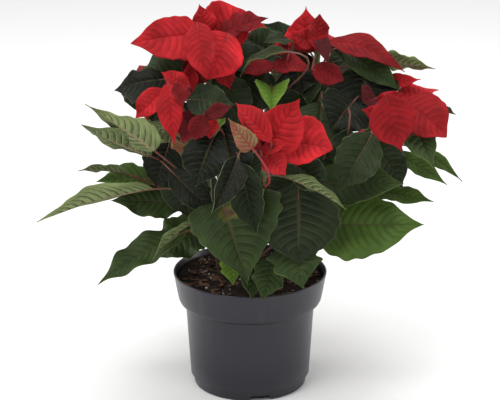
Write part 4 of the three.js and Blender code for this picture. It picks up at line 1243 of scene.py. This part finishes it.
@dataclass
class NurseryPot:
    """The tapered pot with its wide rim band, thin lip, foot ring and drainage notches. Millimetres."""

    steps: int = 180
    notch_first: float = -80.0
    notch_height: float = 4.5
    notch_half: tuple[float, float] = (10.2, 8.0)
    foot: float = 42.0
    outside: tuple[tuple[float, float], ...] = (
        (0.0, 0.0), (42.0, 0.0), (46.4, 0.0), (47.9, 0.5), (48.4, 1.4), (49.0, 7.4), (49.5, 8.3), (50.6, 8.8),
        (51.4, 9.6), (52.3, 24.0), (53.3, 40.0), (54.3, 57.0), (55.25, 72.0), (55.6, 73.2), (56.8, 73.9),
        (58.6, 74.6), (60.4, 75.9), (61.5, 78.2), (62.3, 82.0), (63.6, 89.0), (64.8, 96.0), (65.4, 99.2),
        (65.7, 100.2), (65.8, 101.2), (65.5, 101.8), (65.0, 102.0),
    )
    inside: tuple[tuple[float, float], ...] = (
        (64.5, 101.8), (64.2, 101.2), (63.2, 96.0), (61.9, 89.0), (60.4, 81.0), (59.6, 78.4), (57.6, 76.0),
        (54.6, 75.0), (53.7, 73.0), (50.0, 11.0), (46.2, 2.2), (0.0, 2.0),
    )

    def build(self) -> bpy.types.Object:
        """Builds the pot.

        Returns:
            The piece.
        """
        bm = turned(self.outside + self.inside, self.steps)
        self.cut_notches(bm)
        return finish_piece(bm, "nursery_pot", ["pot"], [POT_SKIN.material()])

    def cut_notches(self, bm: bmesh.types.BMesh) -> None:
        """Lifts the foot's edge into three low drainage notches.

        Args:
            bm: Mesh of the pot.
        """
        low, top = self.notch_half
        for vert in bm.verts:
            radius = math.hypot(vert.co.x, vert.co.y)
            if radius < self.foot + 1 or vert.co.z >= self.notch_height:
                continue
            turn = math.degrees(math.atan2(vert.co.y, vert.co.x)) - self.notch_first
            off = abs((turn + 60) % 120 - 60) * math.pi / 180 * radius
            if off < low:
                share = min(1.0, (low - off) / (low - top))
                vert.co.z += (self.notch_height - vert.co.z) * share


@dataclass
class PottingMix:
    """The soil: a crumbly surface in the pot with bark chips and white perlite grains on it. Millimetres."""

    rng: random.Random
    radius: float = 61.8
    rim_height: float = 93.2
    middle_height: float = 94.6
    shoulder: tuple[float, float] = (53.0, 75.0)
    bottom: float = 60.0
    bank: float = 4.0
    rings: int = 60
    steps: int = 150
    chips: int = 190
    grains: int = 75
    tilt: float = 0.5
    chip_bevel: float = 0.18
    lumps: tuple[tuple[float, float], ...] = ((9.0, 1.3), (3.0, 0.8))

    def height(self, x: float, y: float) -> float:
        """Works out the height of the soil's surface, which is banked up towards the back of the pot.

        Args:
            x: Place across the pot.
            y: Place from front to back.

        Returns:
            The height.
        """
        out = math.hypot(x, y) / self.radius
        level = self.middle_height + (self.rim_height - self.middle_height) * out**2
        level += self.bank * out**3 * min(1.0, max(0.0, 0.5 + y / self.radius))
        (wide, high), (narrow, low) = self.lumps
        rough = noise.noise(Vector((x, y, 3)) / wide) * high + noise.noise(Vector((x, y, 8)) / narrow) * low
        return level + rough * min(1.0, (1 - out) * 6 + 0.25)

    def build(self) -> list[bpy.types.Object]:
        """Builds the soil, its bark chips and its perlite.

        Returns:
            The three pieces.
        """
        surface = [(self.radius * i / self.rings, self.rim_height) for i in range(self.rings + 1)]
        below = [self.shoulder, (self.shoulder[0] - 0.5, self.bottom), (0, self.bottom)]
        bm = turned(surface + below, self.steps)
        for vert in bm.verts:
            if vert.co.z > self.shoulder[1]:
                vert.co.z = self.height(vert.co.x, vert.co.y)
        pieces = [finish_piece(bm, "potting_soil", ["soil"], [PEAT.material()])]
        pieces.append(self.scatter("bark_chips", self.chips, self.chip))
        pieces.append(self.scatter("perlite_grains", self.grains, self.grain))
        return pieces

    def scatter(self, name: str, count: int, make: Callable[[bmesh.types.BMesh], Colour]) -> bpy.types.Object:
        """Strews loose bits over the soil.

        Args:
            name: Name of the piece.
            count: How many bits.
            make: Adds one bit at the middle of a mesh and returns its colour.

        Returns:
            The piece.
        """
        bm = tinted_mesh()
        growth = Growth(self.rng)
        for _ in range(count):
            before = set(bm.verts)
            colour = make(bm)
            grown = list(set(bm.verts) - before)
            out = (self.radius - 3) * math.sqrt(self.rng.random())
            turn = self.rng.uniform(0, 2 * math.pi)
            x, y = out * math.cos(turn), out * math.sin(turn)
            tilts = [Matrix.Rotation(self.rng.uniform(-self.tilt, self.tilt), 4, axis) for axis in "XY"]
            spun = Matrix.Rotation(turn * 7, 4, "Z")
            place = Matrix.Translation((x, y, self.height(x, y) + 0.2)) @ spun @ (tilts[0] @ tilts[1])
            bmesh.ops.transform(bm, matrix=place, verts=grown)
            growth.tint(bm, grown, lambda _, c=colour: c)
        return finish_piece(bm, name, ["soil"], [GRAIN.material()])

    def chip(self, bm: bmesh.types.BMesh) -> Colour:
        """Adds a flat splintered chip of bark.

        Args:
            bm: Mesh that it is added to.

        Returns:
            Its colour.
        """
        size = (2.0 + 8.0 * self.rng.random() ** 1.6, self.rng.uniform(1.2, 4.2), self.rng.uniform(0.7, 1.6))
        verts = bmesh.ops.create_cube(bm, size=1.0, matrix=Matrix.Diagonal((*size, 1.0)))["verts"]
        for vert in verts:
            vert.co += Vector([self.rng.uniform(-0.18, 0.18) * side for side in size])
        edges = list({edge for vert in verts for edge in vert.link_edges})
        bmesh.ops.bevel(bm, geom=edges, offset=self.chip_bevel, offset_type="OFFSET", segments=1,
                        profile=0.5, affect="EDGES", material=-1)
        return blend(CHIP_BROWN, CHIP_TAN, self.rng.random() ** 1.6)

    def grain(self, bm: bmesh.types.BMesh) -> Colour:
        """Adds a lumpy grain of perlite.

        Args:
            bm: Mesh that it is added to.

        Returns:
            Its colour.
        """
        size = self.rng.uniform(0.45, 1.25)
        verts = bmesh.ops.create_icosphere(bm, subdivisions=1, radius=size)["verts"]
        for vert in verts:
            vert.co *= self.rng.uniform(0.75, 1.1)
        white = self.rng.uniform(0.35, 0.75)
        return (white, white * 0.96, white * 0.88)


@dataclass
class Studio:
    """The pale floor, the soft lights and the camera. Metres."""

    lens: float = 134.11
    camera_place: Triple = (0.0, -1.5, 0.66048)
    pitch: float = 18.29
    aim_height: float = 0.18
    floor_size: float = 14.0
    floor_colour: Colour = (0.88, 0.88, 0.88)
    sky: float = 0.6
    lights: tuple[tuple[str, Triple, float, float, Colour], ...] = (
        ("key_light", (-0.8, -1.2, 2.0), 1.1, 24.0, (1.0, 0.99, 0.97)),
        ("top_light", (0.2, 0.3, 2.1), 1.3, 24.0, (1.0, 1.0, 1.0)),
        ("left_strip", (-1.7, 0.25, 0.5), 0.7, 9.0, (1.0, 1.0, 1.0)),
        ("right_strip", (1.7, 0.25, 0.5), 0.7, 9.0, (1.0, 1.0, 1.0)),
    )

    def build(self) -> None:
        """Sets up the floor, the lights, the surroundings and the camera."""
        bm = bmesh.new()
        bmesh.ops.create_grid(bm, x_segments=1, y_segments=1, size=self.floor_size)
        mesh = bpy.data.meshes.new("floor")
        bm.to_mesh(mesh)
        bm.free()
        material = bpy.data.materials.new("floor_paint")
        material.use_nodes = True
        shader = material.node_tree.nodes["Principled BSDF"]
        shader.inputs["Base Color"].default_value = (*self.floor_colour, 1.0)
        shader.inputs["Roughness"].default_value = 0.9
        mesh.materials.append(material)
        in_scene("floor", mesh)
        for name, place, size, power, colour in self.lights:
            light = bpy.data.lights.new(name, "AREA")
            light.size = size
            light.energy = power
            light.color = colour
            lamp = in_scene(name, light)
            lamp.location = place
            aim = Vector((0, 0, self.aim_height)) - Vector(place)
            lamp.rotation_euler = aim.to_track_quat("-Z", "Y").to_euler()
        world = bpy.data.worlds.new("studio")
        world.use_nodes = True
        sky = world.node_tree.nodes["Background"].inputs
        sky["Color"].default_value = (1.0, 1.0, 1.0, 1.0)
        sky["Strength"].default_value = self.sky
        bpy.context.scene.world = world
        bpy.context.scene.view_settings.view_transform = "Standard"
        camera = bpy.data.cameras.new("camera")
        camera.sensor_width = 36.0
        camera.lens = self.lens
        view = in_scene("camera", camera)
        view.location = self.camera_place
        view.rotation_euler = (math.radians(90 - self.pitch), 0, 0)
        bpy.context.scene.camera = view


def main() -> None:
    """Builds the plant, its pot and the studio."""
    logging.basicConfig(level=logging.INFO, format="%(name)s: %(message)s")
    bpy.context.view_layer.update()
    rng = random.Random(11)
    growth = Growth(rng)
    NurseryPot().build()
    PottingMix(rng).build()
    index = 0
    for name, blades in BRACTS.items():
        head = Head(name, growth, index)
        head.build_bracts()
        head.build_stalks()
        head.build_buds()
        index += len(blades)
    first_index: dict[str, int] = {}
    for name, blades in LEAVES.items():
        first_index[name] = index
        index += len(blades)
    for side in ("left", "front", "right", "back"):
        cutting = Cutting(side, growth, first_index)
        cutting.build_stems()
        cutting.build_leaves()
    Studio().build()
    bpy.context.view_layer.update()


if __name__ == "__main__":
    main()
